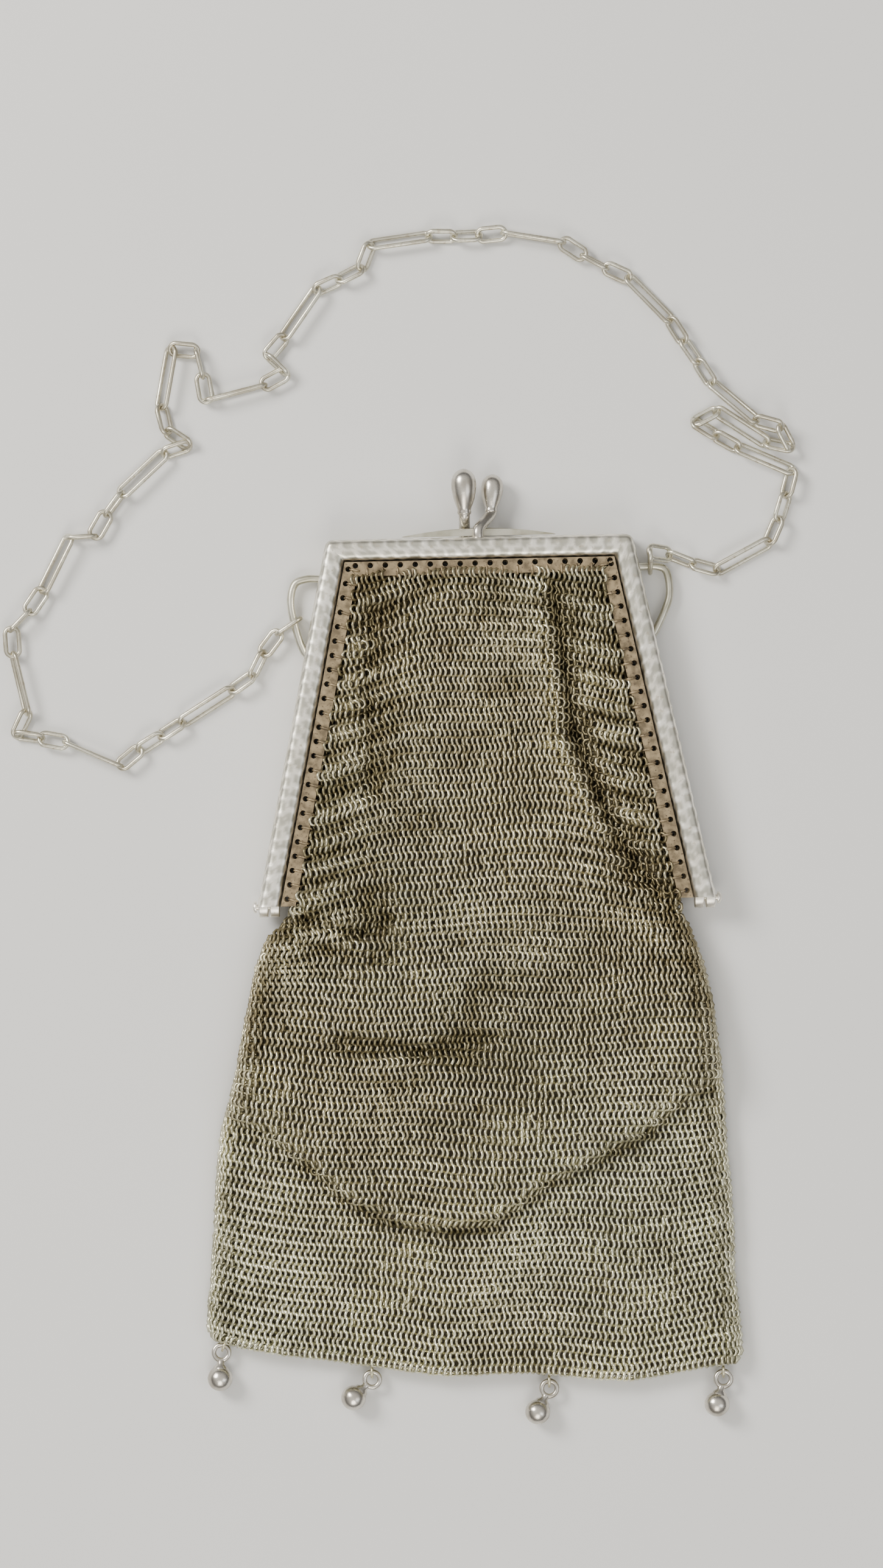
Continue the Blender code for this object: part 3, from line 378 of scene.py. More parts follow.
def frame_half(low, crest_up, seed):
    """The bar's section, a rounded arch over a flat parting face, carried along the U."""
    bend = np.linspace(0.0, math.pi, 2 * CREST + 1)
    arch_inset = np.sign(np.cos(bend)) * np.abs(np.cos(bend)) ** SIDE_CURVE
    arch_inset = BAR_WIDTH / 2 * (1 - arch_inset)
    arch_rise = BAR_DEPTH * np.sin(bend).clip(0.0) ** CREST_CURVE
    inset = np.concatenate([arch_inset, [BAR_WIDTH * 0.66, BAR_WIDTH * 0.33]])
    rise = np.concatenate([arch_rise, [0.0, 0.0]])
    lines = np.stack([u_line(value) for value in inset], axis=1)
    middle = u_line(BAR_WIDTH / 2)
    along = np.concatenate([[0.0], np.cumsum(np.linalg.norm(np.diff(middle, axis=0), axis=1))])
    around = np.concatenate([[0.0], np.cumsum(np.hypot(np.diff(inset), np.diff(rise)))])
    around = around - around[CREST]
    marks = hammer_marks(along, around, seed)
    outward = unit(lines[:, 0] - lines[:, CREST])
    slant = np.clip((BAR_WIDTH / 2 - inset) / (BAR_WIDTH / 2), -1.0, 1.0)
    share = np.where(rise > 0.15 * BAR_DEPTH, 1.0, 0.0)
    push = -MARK_DEPTH * marks * share
    plan = lines + outward[:, None, :] * (push * slant)[..., None]
    height = rise + push * (1 - np.abs(slant))
    z = low + height if crest_up else low + BAR_DEPTH - height
    points = np.concatenate([plan, z[..., None]], axis=2)
    marks = np.concatenate([marks[:1], marks, marks[-1:]]) * (share > 0.0)
    return closed_run(points, points[0].mean(axis=0), points[-1].mean(axis=0)), marks.ravel()


def knuckle(side, place):
    """A hinge knuckle: a disc with rounded rims across the foot, outer at place 0, inner at 1."""
    outer = HALF_FOOT - HINGE_SET - place * (LUG_THICK + GAP)
    origin = (side * (outer - LUG_THICK), HINGE_Y, HINGE_Z)
    return turned(rounded_disc(LUG_THICK, LUG_RADIUS, LUG_RIM), origin, (side, 0.0, 0.0))


silver = Finish("frame_silver", Metallic=1.0)
silver_grain = silver.grain(9 * mm, 4.0)
silver_spots = silver.grain(0.9 * mm, 3.0)
silver_colour = silver.patches(silver_grain, 0.40, 0.70, (0.98, 0.95, 0.87), (0.90, 0.85, 0.74))
# Painted shade: the hammer marks are painted darker, standing in for the darker light that their
# flat facets catch.
silver_colour = silver.mix(0.85 * silver.named("mark"), silver_colour, (0.45, 0.44, 0.37))
silver.feed("Base Color", silver.patches(silver_spots, 0.60, 0.80, silver_colour,
                                         (0.50, 0.44, 0.34)))
silver.feed("Roughness", 0.30 + 0.20 * silver_spots)
silver.bump(silver.grain(0.35 * mm, 2.0), 0.012 * mm)
for name, node, low, crest_up, place, seed in (
        ("frame_back_planished", "back_frame", 0.0, False, 0, 3),
        ("frame_front_planished", "front_frame", FRONT_Z, True, 1, 8)):
    bar, marks = frame_half(low, crest_up, seed)
    surfaces = [bar, knuckle(-1, place), knuckle(1, place)]
    bare = np.zeros(sum(len(points) for points, _ in surfaces[1:]))
    mesh_piece(name, surfaces, silver, [node],
               stains_and_painted_shade=[("mark", np.concatenate([marks, bare]))])

# Hinge rivets: a silver wire through both knuckles of a foot, spread into a thin round head on
# the outside and riveted over within.
PIN_RADIUS = 0.6 * mm
PIN_HEAD_RADIUS = 1.15 * mm
PIN_HEAD_THICK = 0.8 * mm
PIN_HEAD_RIM = 0.25 * mm


def rivet(side):
    """The head's domed disc and the wire behind it, turned round the hinge's line."""
    head = HALF_FOOT + GAP
    inner = HALF_FOOT - 2 * LUG_THICK - GAP
    bend = np.linspace(0.0, math.pi / 2, 6)
    dome = np.stack([PIN_HEAD_RIM + (PIN_HEAD_THICK - PIN_HEAD_RIM) * np.sin(bend),
                     PIN_HEAD_RADIUS * np.cos(bend) ** 0.7], axis=1)
    profile = np.vstack([[(0.0, 0.0), (0.0, PIN_HEAD_RADIUS)], dome])
    wire = [(0.0, 0.0), (0.0, PIN_RADIUS * 0.8), (0.15 * mm, PIN_RADIUS),
            (head - inner, PIN_RADIUS), (head - inner, 0.0)]
    return [turned(profile, (side * head, HINGE_Y, HINGE_Z), (side, 0.0, 0.0), 24),
            turned(wire, (side * inner, HINGE_Y, HINGE_Z), (side, 0.0, 0.0), 16)]


mesh_piece("rivet_left", rivet(-1), silver, ["left_hinge_pin"])
mesh_piece("rivet_right", rivet(1), silver, ["right_hinge_pin"])

# Strips: thin tarnished bands along the inside of each half, with a row of small punched holes
# that the edge of the mesh is laced through.
STRIP_WIDTH = 2.6 * mm
STRIP_THICK = 0.7 * mm
STRIP_DROP = 0.8 * mm
STRIP_INSET = BAR_WIDTH + GAP
STRIP_FRONT_Z = THICKNESS - STRIP_DROP - STRIP_THICK
HOLE_RADIUS = 0.56 * mm
HOLE_PITCH = 2.9 * mm
HOLE_INSET = 0.95 * mm
UNDER_BAR = 0.2 * mm
STRIP_TOP = FRAME_TOP_Y - STRIP_INSET + UNDER_BAR
STRIP_HALF = leg_x(STRIP_TOP, STRIP_INSET - UNDER_BAR)
LEG_HOLES = round((STRIP_TOP - FOOT_Y) * LEG_STRETCH / HOLE_PITCH)
TOP_HOLES = round(2 * STRIP_HALF / HOLE_PITCH)


def strip_run(start, end, inner_start, inner_end, count, low):
    """A straight band cut into as many cells as it has holes. Each cell runs from its four-sided
    border to a round hole on a few rings, above and below, with a wall down the hole."""
    start, end, inner_start, inner_end = map(np.asarray, (start, end, inner_start, inner_end))
    angle = full_turn(16)
    square = np.stack([np.cos(angle), np.sin(angle)], axis=1)
    square /= np.abs(square).max(axis=1)[:, None]
    cell = np.arange(count)[:, None]
    along = (cell + 0.5 + 0.5 * square[:, 0]) / count
    across = 0.5 + 0.5 * square[:, 1]
    outer = start + (end - start) * along[..., None]
    inner = inner_start + (inner_end - inner_start) * along[..., None]
    border = outer + (inner - outer) * across[None, :, None]
    middle_share = (cell + 0.5) / count
    middle = start + (end - start) * middle_share + unit(inner_start - start) * HOLE_INSET
    direction = unit(end - start)
    normal = np.array([-direction[1], direction[0]])
    if normal @ (inner_start - start) < 0:
        normal = -normal
    circle = middle[:, None, :] + HOLE_RADIUS * circle_on(angle, direction, normal)
    lines = [border, 0.45 * border + 0.55 * circle, circle]
    layers = [(line, low + STRIP_THICK) for line in lines] + [(line, low) for line in lines[::-1]]
    stacked = np.stack([np.concatenate([line, np.full(line.shape[:2] + (1,), z)], axis=2)
                        for line, z in layers], axis=1)
    return [grid(cell_points, wrap_rows=True, wrap_columns=True) for cell_points in stacked]


def strip(low):
    """Both legs and the top of the band, meeting at the mitres of its corners."""
    inner_top = FRAME_TOP_Y - STRIP_INSET - STRIP_WIDTH
    outer = (STRIP_HALF, STRIP_TOP)
    inner = (leg_x(inner_top, STRIP_INSET + STRIP_WIDTH), inner_top)
    outer_foot = (leg_x(FOOT_Y, STRIP_INSET - UNDER_BAR), FOOT_Y)
    inner_foot = (leg_x(FOOT_Y, STRIP_INSET + STRIP_WIDTH), FOOT_Y)
    left, right = np.array([-1, 1]), np.array([1, 1])
    surfaces = []
    for flip in (left, right):
        surfaces += strip_run(outer_foot * flip, outer * flip, inner_foot * flip, inner * flip,
                              LEG_HOLES, low)
    return surfaces + strip_run(outer * left, outer, inner * left, inner, TOP_HOLES, low)


tarnish = Finish("tarnished_strip", Metallic=0.7)
tarnish_grain = tarnish.grain(1.5 * mm, 4.0)
tarnish_spots = tarnish.grain(0.5 * mm, 2.0)
tarnish_colour = tarnish.patches(tarnish_grain, 0.35, 0.65, (0.39, 0.305, 0.185),
                                 (0.16, 0.125, 0.078))
tarnish.feed("Base Color", tarnish.patches(tarnish_spots, 0.58, 0.72, tarnish_colour,
                                           (0.12, 0.09, 0.06)))
tarnish.feed("Roughness", 0.34 + 0.25 * tarnish_grain)
tarnish.bump(tarnish.grain(0.4 * mm, 2.0), 0.02 * mm)
for name, node, low in (("strip_front_punched", "front_strip", STRIP_FRONT_Z),
                        ("strip_back_punched", "back_strip", STRIP_DROP)):
    mesh_piece(name, strip(low), tarnish, [node], cells=True)

# Clasp: two pear-shaped knobs of cast silver on bent stems that snap past each other, riveted
# into the two halves, with a thin lens-shaped plate between them that keeps them from rubbing.
PLATE_LENGTH = 30.0 * mm
PLATE_RISE = 1.5 * mm
PLATE_THICK = 0.7 * mm
PLATE_TIP = 0.12 * mm
PLATE_POINTS = 41
STEM_RADIUS = 1.10 * mm
STEM_SEAT = 1.2 * mm
KNOB_CROSS = 0.9 * mm
CLASPS = [
    # name, node, foot_x, foot_z, knob_x, knob_z, width, length, tip
    ("knob_back", "back_clasp_knob", -2.75 * mm, 1.5 * mm, -2.75 * mm, HINGE_Z + KNOB_CROSS,
     5.0 * mm, 9.0 * mm, 15.6 * mm),
    ("knob_front", "front_clasp_knob", 0.0, FRONT_Z + 1.7 * mm, 2.45 * mm,
     HINGE_Z - KNOB_CROSS, 4.4 * mm, 7.6 * mm, 14.6 * mm),
]
PEAR = [
    # height, radius, as shares of the knob's length and width
    (0.00, 0.00), (0.00, 0.22), (0.02, 0.265), (0.06, 0.275), (0.10, 0.262), (0.125, 0.268),
    (0.18, 0.305), (0.26, 0.362), (0.36, 0.418), (0.47, 0.462), (0.58, 0.487), (0.68, 0.490),
    (0.77, 0.470), (0.85, 0.420), (0.915, 0.335), (0.965, 0.220), (0.992, 0.100), (1.00, 0.00),
]


def smooth_route(points, steps):
    """Catmull-Rom curve through the points, with this many steps to a span."""
    points = np.asarray(points, float)
    ends = np.vstack([2 * points[0] - points[1], points, 2 * points[-1] - points[-2]])
    share = np.linspace(0.0, 1.0, steps, endpoint=False)[:, None]
    spans = []
    for a, b, c, d in zip(ends[:-3], ends[1:-2], ends[2:-1], ends[3:]):
        spans.append(0.5 * (2 * b + (c - a) * share + (2 * a - 5 * b + 4 * c - d) * share ** 2
                            + (3 * b - a - 3 * c + d) * share ** 3))
    return np.vstack(spans + [points[-1:]])


def wire_along(path, radius, sides=14, up=(0.0, 0.0, 1.0), closed=False):
    """Round wire: at each point of the path a ring square to the path, its ends drawn shut."""
    path = np.asarray(path, float)
    if closed:
        run = np.roll(path, -1, axis=0) - np.roll(path, 1, axis=0)
    else:
        run = np.gradient(path, axis=0)
    run = unit(run)
    side = unit(np.cross(run, up))
    over = np.cross(side, run)
    ring = circle_on(full_turn(sides), side, over)
    radius = np.broadcast_to(radius, len(path))
    points = path[:, None] + ring * radius[:, None, None]
    if closed:
        return grid(points, wrap_rows=True, wrap_columns=True)
    return closed_run(points, path[0], path[-1])


polish = Finish("knob_polish", Metallic=1.0)
polish_grain = polish.grain(3.0 * mm, 4.0)
polish.feed("Base Color", polish.patches(polish_grain, 0.45, 0.75, (0.64, 0.61, 0.55),
                                         (0.36, 0.32, 0.26)))
polish.feed("Roughness", 0.20 + 0.16 * polish_grain)
polish.bump(polish.grain(0.9 * mm, 2.0), 0.02 * mm)
for name, node, foot_x, foot_z, knob_x, knob_z, width, length, tip in CLASPS:
    base = np.array([knob_x, tip - length, knob_z])
    foot = np.array([foot_x, FRAME_TOP_Y + PLATE_RISE, foot_z])
    lean = unit(np.array([(knob_x - foot_x) * 0.25, length, (knob_z - foot_z) * 0.25]))
    seat = foot - np.array([0.0, STEM_SEAT + PLATE_RISE, 0.0])
    stem = smooth_route([seat, foot, base - lean * 0.3 * mm, base + lean * 0.2 * length], 9)
    pear = np.array(PEAR) * (length, width)
    mesh_piece(name, [turned(pear, base, lean, 32), wire_along(stem, STEM_RADIUS, 16)],
               polish, [node], sharp=60.0)

worn = Finish("worn_silver", Metallic=1.0)
worn_grain = worn.grain(4.0 * mm, 4.0)
worn.feed("Base Color", worn.patches(worn_grain, 0.38, 0.66, (0.72, 0.70, 0.60),
                                     (0.46, 0.44, 0.34)))
worn.feed("Roughness", 0.26 + 0.24 * worn_grain)
plate_share = np.linspace(-1.0, 1.0, PLATE_POINTS)
plate_low = np.full(PLATE_POINTS, FRAME_TOP_Y + GAP)
plate_arch = plate_low + PLATE_TIP + (PLATE_RISE - PLATE_TIP) * (1 - plate_share ** 2)
plate_ring = [
    # share of the rise, share of the thickness
    (0.0, 0.0), (0.90, 0.0), (1.0, 0.18), (1.0, 0.82), (0.90, 1.0), (0.0, 1.0),
]
plate = np.stack([np.stack([plate_share * PLATE_LENGTH / 2,
                            plate_low + (plate_arch - plate_low) * rise,
                            np.full(PLATE_POINTS, BAR_DEPTH - PLATE_THICK * (1 - thick))],
                           axis=1)
                  for rise, thick in plate_ring], axis=1)
mesh_piece("guard_plate", [closed_run(plate, plate[0].mean(axis=0), plate[-1].mean(axis=0))],
           worn, ["clasp_plate"], sharp=30.0)

# Ear loops: a bent silver wire on each leg of the back half, both ends set in drilled holes.
# The chain's end links hang on them.
EAR_RADIUS = 0.74 * mm
EAR_HEIGHT = 1.8 * mm
EAR_SEAT = 1.2 * mm
LEFT_EAR = [
    # down and stand_off in millimetres
    (7.4, 0.0), (7.4, 2.6), (8.5, 4.7), (12.6, 4.6), (19.0, 1.9), (22.2, 0.0),
]
RIGHT_EAR = [
    # down and stand_off in millimetres
    (6.4, 0.0), (6.4, 3.6), (7.6, 5.2), (11.8, 4.8), (15.4, 2.9), (19.6, 0.0),
]


def column(table, index):
    return np.array([row[index] for row in table])


def look_up(table, places):
    """The table's second column at places of its first, straight between its rows."""
    return np.interp(places, column(table, 0), column(table, 1))


def ear_route(table, side, steps):
    """The ear's middle line, smooth through its table, with both ends let into the wall."""
    down, off = column(table, 0) * mm, column(table, 1) * mm
    points = np.stack([side * (leg_x(FRAME_TOP_Y - down) + off), FRAME_TOP_Y - down,
                       np.full(len(down), EAR_HEIGHT)], axis=1)
    inward = np.array([side * EAR_SEAT, 0.0, 0.0])
    return np.vstack([points[:1] - inward, smooth_route(points, steps), points[-1:] - inward])


for name, node, table, side in (("ear_left", "left_ear_loop", LEFT_EAR, -1),
                                ("ear_right", "right_ear_loop", RIGHT_EAR, 1)):
    mesh_piece(name, [wire_along(ear_route(table, side, 8), EAR_RADIUS)], worn,
               [node])

# Mesh bag: thousands of small silver wire rings that lie across their neighbours as in linked
# mesh, in rows that lean alternately left and right. The sheet is closed at the sides and the
# bottom, lies full under the frame and sags in one big fold across the middle.
BAG_INSET = 7.8 * mm
BAG_DEPTH = 91.5 * mm
BAG_FRONT = 8.2 * mm
BAG_LOW = 5.0 * mm
BAG_HEM = 4.3 * mm
SWAG_PUFF = 0.10
PUFF_ABOVE = 7.0 * mm
PUFF_BREADTH = 5.0 * mm
SWAG_BANK = 1.1 * mm
SWAG_BELOW = 0.5 * mm
SIDE_ROUND = 3.4 * mm
SIDE_ARC = 5.7 * mm
HEM_ROUND = 2.2 * mm
BAG_EDGE_FRONT = THICKNESS - STRIP_DROP
BAG_TOP = FRAME_TOP_Y - BAG_INSET
SEAM_GAP = 0.5 * mm
SEAM_TOP = FOOT_Y - LUG_RADIUS - SEAM_GAP
TO_SEAM = BAG_TOP - SEAM_TOP
SEAM_RUN = 3.0 * mm
RUN_ON = 2.0 * mm
RING_RADIUS = 0.96 * mm
RING_WIRE = 0.35 * mm
RING_ACROSS = 1.12 * mm
RING_DOWN = 1.48 * mm
RING_LEAN = math.radians(50.0)
RING_LEAN_MORE = math.radians(8.0)
FRONT_SINK = 0.70 * mm
STRIP_LAP = 0.55 * mm
LAP_RUN = 0.6 * mm
BACK_SINK = 1.32 * mm
RING_COLUMNS = 56
ROWS_ABOVE = 4
ROW_START = 0.45
DRAW_LEAST = 0.78
DRAW_MORE = 0.22
DRAW_FULL = 1.15
RING_SWAY_ACROSS = 0.45 * mm
RING_SWAY_DOWN = 0.40 * mm
RING_STRAY = 0.05 * mm
RING_STRAY_ANGLE = 0.09
RING_EDGE = 0.2 * mm
RING_HEM = 0.5 * mm
OVER_STRIP = 1.2 * mm
OVER_STRIP_TOP = -0.9 * mm
SLOPE_STEP = 0.25 * mm
ARCH_DROP = 3.6 * mm
ARCH_REACH = 12.0 * mm
ARCH_END = 16.0 * mm
ARCH_FADE = 24.0 * mm
BAG_SIDES = [
    # down, left, right
    (0.00, 0.860, 0.837), (0.04, 0.942, 0.873), (0.10, 0.993, 0.915), (0.20, 1.036, 0.960),
    (0.30, 1.073, 0.984), (0.40, 1.111, 0.998), (0.50, 1.165, 1.004), (0.60, 1.189, 1.020),
    (0.70, 1.203, 1.033), (0.80, 1.216, 1.033), (0.90, 1.236, 1.049), (0.965, 1.247, 1.056),
    (1.00, 1.216, 1.029),
]
BAG_BOTTOM = [
    # across, depth
    (-1.00, 0.905), (-0.87, 0.925), (-0.66, 0.951), (-0.45, 0.970), (-0.27, 0.980),
    (-0.10, 0.993), (0.25, 0.999), (0.60, 1.011), (0.80, 1.000), (1.00, 0.985),
]
SWAG = [
    # across, depth
    (-1.30, 0.37), (-0.98, 0.448), (-0.75, 0.542), (-0.59, 0.609), (-0.43, 0.647),
    (-0.23, 0.661), (-0.02, 0.651), (0.10, 0.616), (0.24, 0.566), (0.67, 0.467),
    (0.81, 0.402), (1.20, 0.30),
]
FOLDS = [
    # across_0, down_0, across_1, down_1, breadth, height
    (0.33, 0.07, 0.39, 0.24, 0.38, -0.10),
    (0.39, 0.24, 0.63, 0.40, 0.38, -0.12),
    (0.63, 0.40, 0.77, 0.45, 0.38, -0.10),
    (-0.54, 0.10, -0.56, 0.32, 0.45, 0.07),
    (-0.42, 0.10, -0.44, 0.30, 0.40, -0.08),
    (-0.50, 0.44, -0.45, 0.49, 0.40, -0.14),
    (-0.66, 0.615, -0.12, 0.618, 0.35, -0.10),
    (-0.12, 0.618, -0.05, 0.54, 0.35, -0.09),
    (0.32, 0.06, 0.36, 0.16, 0.18, -0.22),
    (0.36, 0.16, 0.40, 0.24, 0.18, -0.24),
    (0.40, 0.24, 0.50, 0.315, 0.18, -0.25),
    (0.50, 0.315, 0.66, 0.395, 0.19, -0.22),
    (0.66, 0.395, 0.80, 0.45, 0.20, -0.22),
    (0.27, 0.08, 0.33, 0.25, 0.28, 0.12),
    (0.33, 0.25, 0.50, 0.37, 0.30, 0.11),
    (-0.47, 0.09, -0.50, 0.20, 0.18, -0.13),
    (-0.50, 0.20, -0.49, 0.30, 0.18, -0.12),
    (-0.80, 0.455, -0.55, 0.475, 0.18, -0.16),
    (-0.55, 0.475, -0.42, 0.455, 0.17, -0.18),
    (-0.82, 0.485, -0.50, 0.505, 0.17, -0.13),
    (-0.62, 0.605, -0.30, 0.618, 0.20, -0.16),
    (-0.30, 0.618, 0.02, 0.600, 0.20, -0.14),
    (-0.50, 0.655, 0.05, 0.662, 0.14, -0.05),
]
WAVES = [
    # across per mm, down per mm, start, height
    (0.21, 0.33, 0.4, 0.16 * mm),
    (-0.35, 0.27, 1.9, 0.13 * mm),
    (0.12, -0.52, 3.1, 0.12 * mm),
    (0.55, 0.10, 5.0, 0.10 * mm),
    (-0.08, 0.78, 2.2, 0.09 * mm),
]
PUCKER_REACH = 11.0 * mm
PUCKER_HEIGHT = 0.75 * mm
PUCKER_END = 14.0 * mm
PUCKER_FADE = 10.0 * mm
CRUMPLE_REACH = 7.0 * mm
CRUMPLE_HEIGHT = 0.5 * mm


def bell(away, breadth):
    """One in the middle, falling off as e to the power of less the square of away over breadth."""
    return np.exp(-(away / breadth) ** 2)


def bag_edges(down):
    """Left and right edge at a distance down from the mouth: set in from the strips as far as
    the hinge, then the shares of half the frame's foot from the table."""
    places = np.concatenate([[0.0, BAG_TOP - FOOT_Y], TO_SEAM + column(BAG_SIDES, 0) * BAG_DEPTH])
    in_frame = [leg_x(BAG_TOP, BAG_INSET), leg_x(FOOT_Y, BAG_INSET)]
    left = np.concatenate([in_frame, column(BAG_SIDES, 1) * HALF_FOOT])
    right = np.concatenate([in_frame, column(BAG_SIDES, 2) * HALF_FOOT])
    return -np.interp(down, places, left), np.interp(down, places, right)


def seam_share(down):
    """From 0 at the open mouth to 1 where the sides are closed, over the last stretch above."""
    return held((down - TO_SEAM) / SEAM_RUN + 1.0)


def past_swag(x, y):
    """How far a spot lies below the line of the big fold, and its share of the whole depth."""
    depth = (SEAM_TOP - y) / BAG_DEPTH
    return (depth - look_up(SWAG, x / HALF_FOOT)) * BAG_DEPTH, depth


def relief(x, y):
    """Creases and ridges, each a bell-shaped bank along its line, plus a few long waves, the
    puckers that fan out from the legs and the crumpling under the top strip."""
    across = x / HALF_FOOT
    down = (FRAME_TOP_Y - y) / (FRAME_HEIGHT + BAG_DEPTH)
    height = np.zeros_like(x)
    for across_0, down_0, across_1, down_1, breadth, rise in FOLDS:
        run = np.array([(across_1 - across_0) * HALF_FOOT,
                        (down_1 - down_0) * (FRAME_HEIGHT + BAG_DEPTH)])
        from_x = (across - across_0) * HALF_FOOT
        from_y = (down - down_0) * (FRAME_HEIGHT + BAG_DEPTH)
        share = held((from_x * run[0] + from_y * run[1]) / (run @ run))
        away = np.hypot(from_x - share * run[0], from_y - share * run[1])
        height = height + rise * BAG_FRONT * bell(away, breadth * BAG_FRONT)
    for per_x, per_y, start, size in WAVES:
        height = height + size * np.sin(per_x * x / mm + per_y * y / mm + start)
    from_leg = leg_x(y, BAG_INSET) - np.abs(x)
    inside = bell(from_leg, PUCKER_REACH) * held((y - FOOT_Y + PUCKER_END) / PUCKER_FADE)
    tilt = y + 0.35 * np.sign(x) * x
    wave = np.sin(tilt / mm * 1.05 + np.sign(x) * 1.1 + 1.6 * np.sin(y / mm * 0.21))
    under_top = bell(BAG_TOP - y, CRUMPLE_REACH)
    crumple = np.sin(x / mm * 0.9 + 1.5 * np.sin(x / mm * 0.23))
    crumple = crumple * np.sin(y / mm * 0.6 + x / mm * 0.2)
    return height + PUCKER_HEIGHT * inside * wave + CRUMPLE_HEIGHT * under_top * crumple


def front_height(x, y):
    """Height of the front: full above the big fold, low below it, with the relief on both."""
    past, depth = past_swag(x, y)
    below = 0.5 + 0.5 * np.tanh((past - SWAG_BELOW) / SWAG_BANK)
    puff = SWAG_PUFF * bell(past + PUFF_ABOVE, PUFF_BREADTH)
    low = BAG_LOW + (BAG_HEM - BAG_LOW) * held(depth)
    return BAG_FRONT * (1.0 + puff) * (1 - below) + low * below + relief(x, y)


def bag_point(across, down, front, sink):
    """Place of a spot of the sheet: across along its own width from the middle, and down from
    the mouth. Past the flat the sheet bends a quarter round to the side seam. Sink is the
    distance that the spot lies within the outer surface."""
    left, right = bag_edges(down)
    middle = (left + right) / 2
    half = (right - left) / 2
    share = held((down - TO_SEAM) / BAG_DEPTH)
    shut = seam_share(down)
    arc = SIDE_ROUND + (SIDE_ARC - SIDE_ROUND) * shut
    over = np.clip(np.abs(across) - (half - SIDE_ROUND), 0.0, arc + RUN_ON * (1 - shut))
    bend = over / arc * math.pi / 2
    flat = np.minimum(np.abs(across), half - SIDE_ROUND)
    x = middle + np.sign(across) * (flat + over * (1 - shut) + SIDE_ROUND * np.sin(bend) * shut)
    place = np.clip((2 * x - left - right) / (right - left), -1.0, 1.0)
    edge = look_up(BAG_BOTTOM, place)
    y = BAG_TOP - np.minimum(down, TO_SEAM) - share * BAG_DEPTH * edge
    seam = HINGE_Z + (BAG_HEM / 2 - HINGE_Z) * np.minimum(1.0, share * 1.4)
    to_hem = held((1.0 - share) * BAG_DEPTH / HEM_ROUND)
    hem = np.sqrt(1.0 - (1.0 - to_hem) ** 2)
    high = front_height(x, y) - sink if front else np.full_like(x, sink)
    mouth = BAG_EDGE_FRONT - sink if front else THICKNESS - BAG_EDGE_FRONT + sink
    closed_z = seam + (high - seam) * np.cos(bend) * hem
    ease = held(np.minimum(half - np.abs(x - middle), down) / SIDE_ROUND)
    open_z = mouth + (high - mouth) * ease
    return np.stack([x, y, open_z + (closed_z - open_z) * shut], axis=-1)


def ring_field(front):
    """Middle, slant and upright of every ring: a staggered lattice on the sheet, drawn in a
    little towards the mouth, pushed about by long waves, with a small chance turn to each."""
    chance = np.random.default_rng(11 if front else 12)
    rows = np.arange(-ROWS_ABOVE, int((TO_SEAM + BAG_DEPTH) / RING_DOWN))
    columns = np.arange(-RING_COLUMNS, RING_COLUMNS + 1)
    row, place = np.meshgrid(rows, columns, indexing="ij")
    row, place = row.ravel(), place.ravel()
    down = (row + ROW_START) * RING_DOWN
    left, right = bag_edges(down)
    half = (right - left) / 2
    draw = DRAW_LEAST + DRAW_MORE * half / (DRAW_FULL * HALF_FOOT)
    across = (place + 0.5 * (row % 2)) * RING_ACROSS * draw
    across = across + RING_SWAY_ACROSS * np.sin(down / mm * 0.11 + across / mm * 0.05)
    down = down + RING_SWAY_DOWN * np.sin(across / mm * 0.17 + down / mm * 0.06)
    to_leg = np.clip(half - np.abs(across), 0.0, None)
    in_frame = held((TO_SEAM + ARCH_END - down) / ARCH_FADE)
    down = down + ARCH_DROP * bell(to_leg, ARCH_REACH) * in_frame
    shut = seam_share(down)
    limit = half + (SIDE_ARC - SIDE_ROUND) * shut - RING_EDGE + OVER_STRIP * (1 - shut)
    kept = (np.abs(across) < limit) & (down > OVER_STRIP_TOP)
    kept &= down < TO_SEAM + BAG_DEPTH - RING_HEM
    row, across, down, shut = row[kept], across[kept], down[kept], shut[kept]
    sink = FRONT_SINK if front else BACK_SINK
    middle, right, left, upper, lower = (
        bag_point(across + step_across, down + step_down, front, sink)
        for step_across, step_down in (
            (0, 0), (SLOPE_STEP, 0), (-SLOPE_STEP, 0), (0, -SLOPE_STEP), (0, SLOPE_STEP)))
    along_x = unit(right - left)
    along_y = upper - lower
    along_y = unit(along_y - (along_y * along_x).sum(axis=1)[:, None] * along_x)
    out = np.cross(along_x, along_y)
    loose = np.sin(middle[:, 0] / mm * 0.13 + 1.0) * np.sin(middle[:, 1] / mm * 0.10)
    lean = RING_LEAN + RING_LEAN_MORE * loose + chance.normal(0.0, RING_STRAY_ANGLE, len(row))
    lean = np.where(row % 2 == 0, 1.0, -1.0) * lean
    turn = chance.normal(0.0, RING_STRAY_ANGLE, len(row))
    upright = along_y * np.cos(turn)[:, None] + along_x * np.sin(turn)[:, None]
    level = along_x * np.cos(turn)[:, None] - along_y * np.sin(turn)[:, None]
    slant = level * np.cos(lean)[:, None] + out * np.sin(lean)[:, None]
    middle = middle + chance.normal(0.0, RING_STRAY, middle.shape)
    left, right = bag_edges(down)
    beyond = np.maximum(np.abs(across) - (right - left) / 2, -down)
    lift = held(beyond / LAP_RUN + 0.5) * (1 - shut) * STRIP_LAP
    middle[:, 2] += lift if front else -lift
    return middle, slant, upright


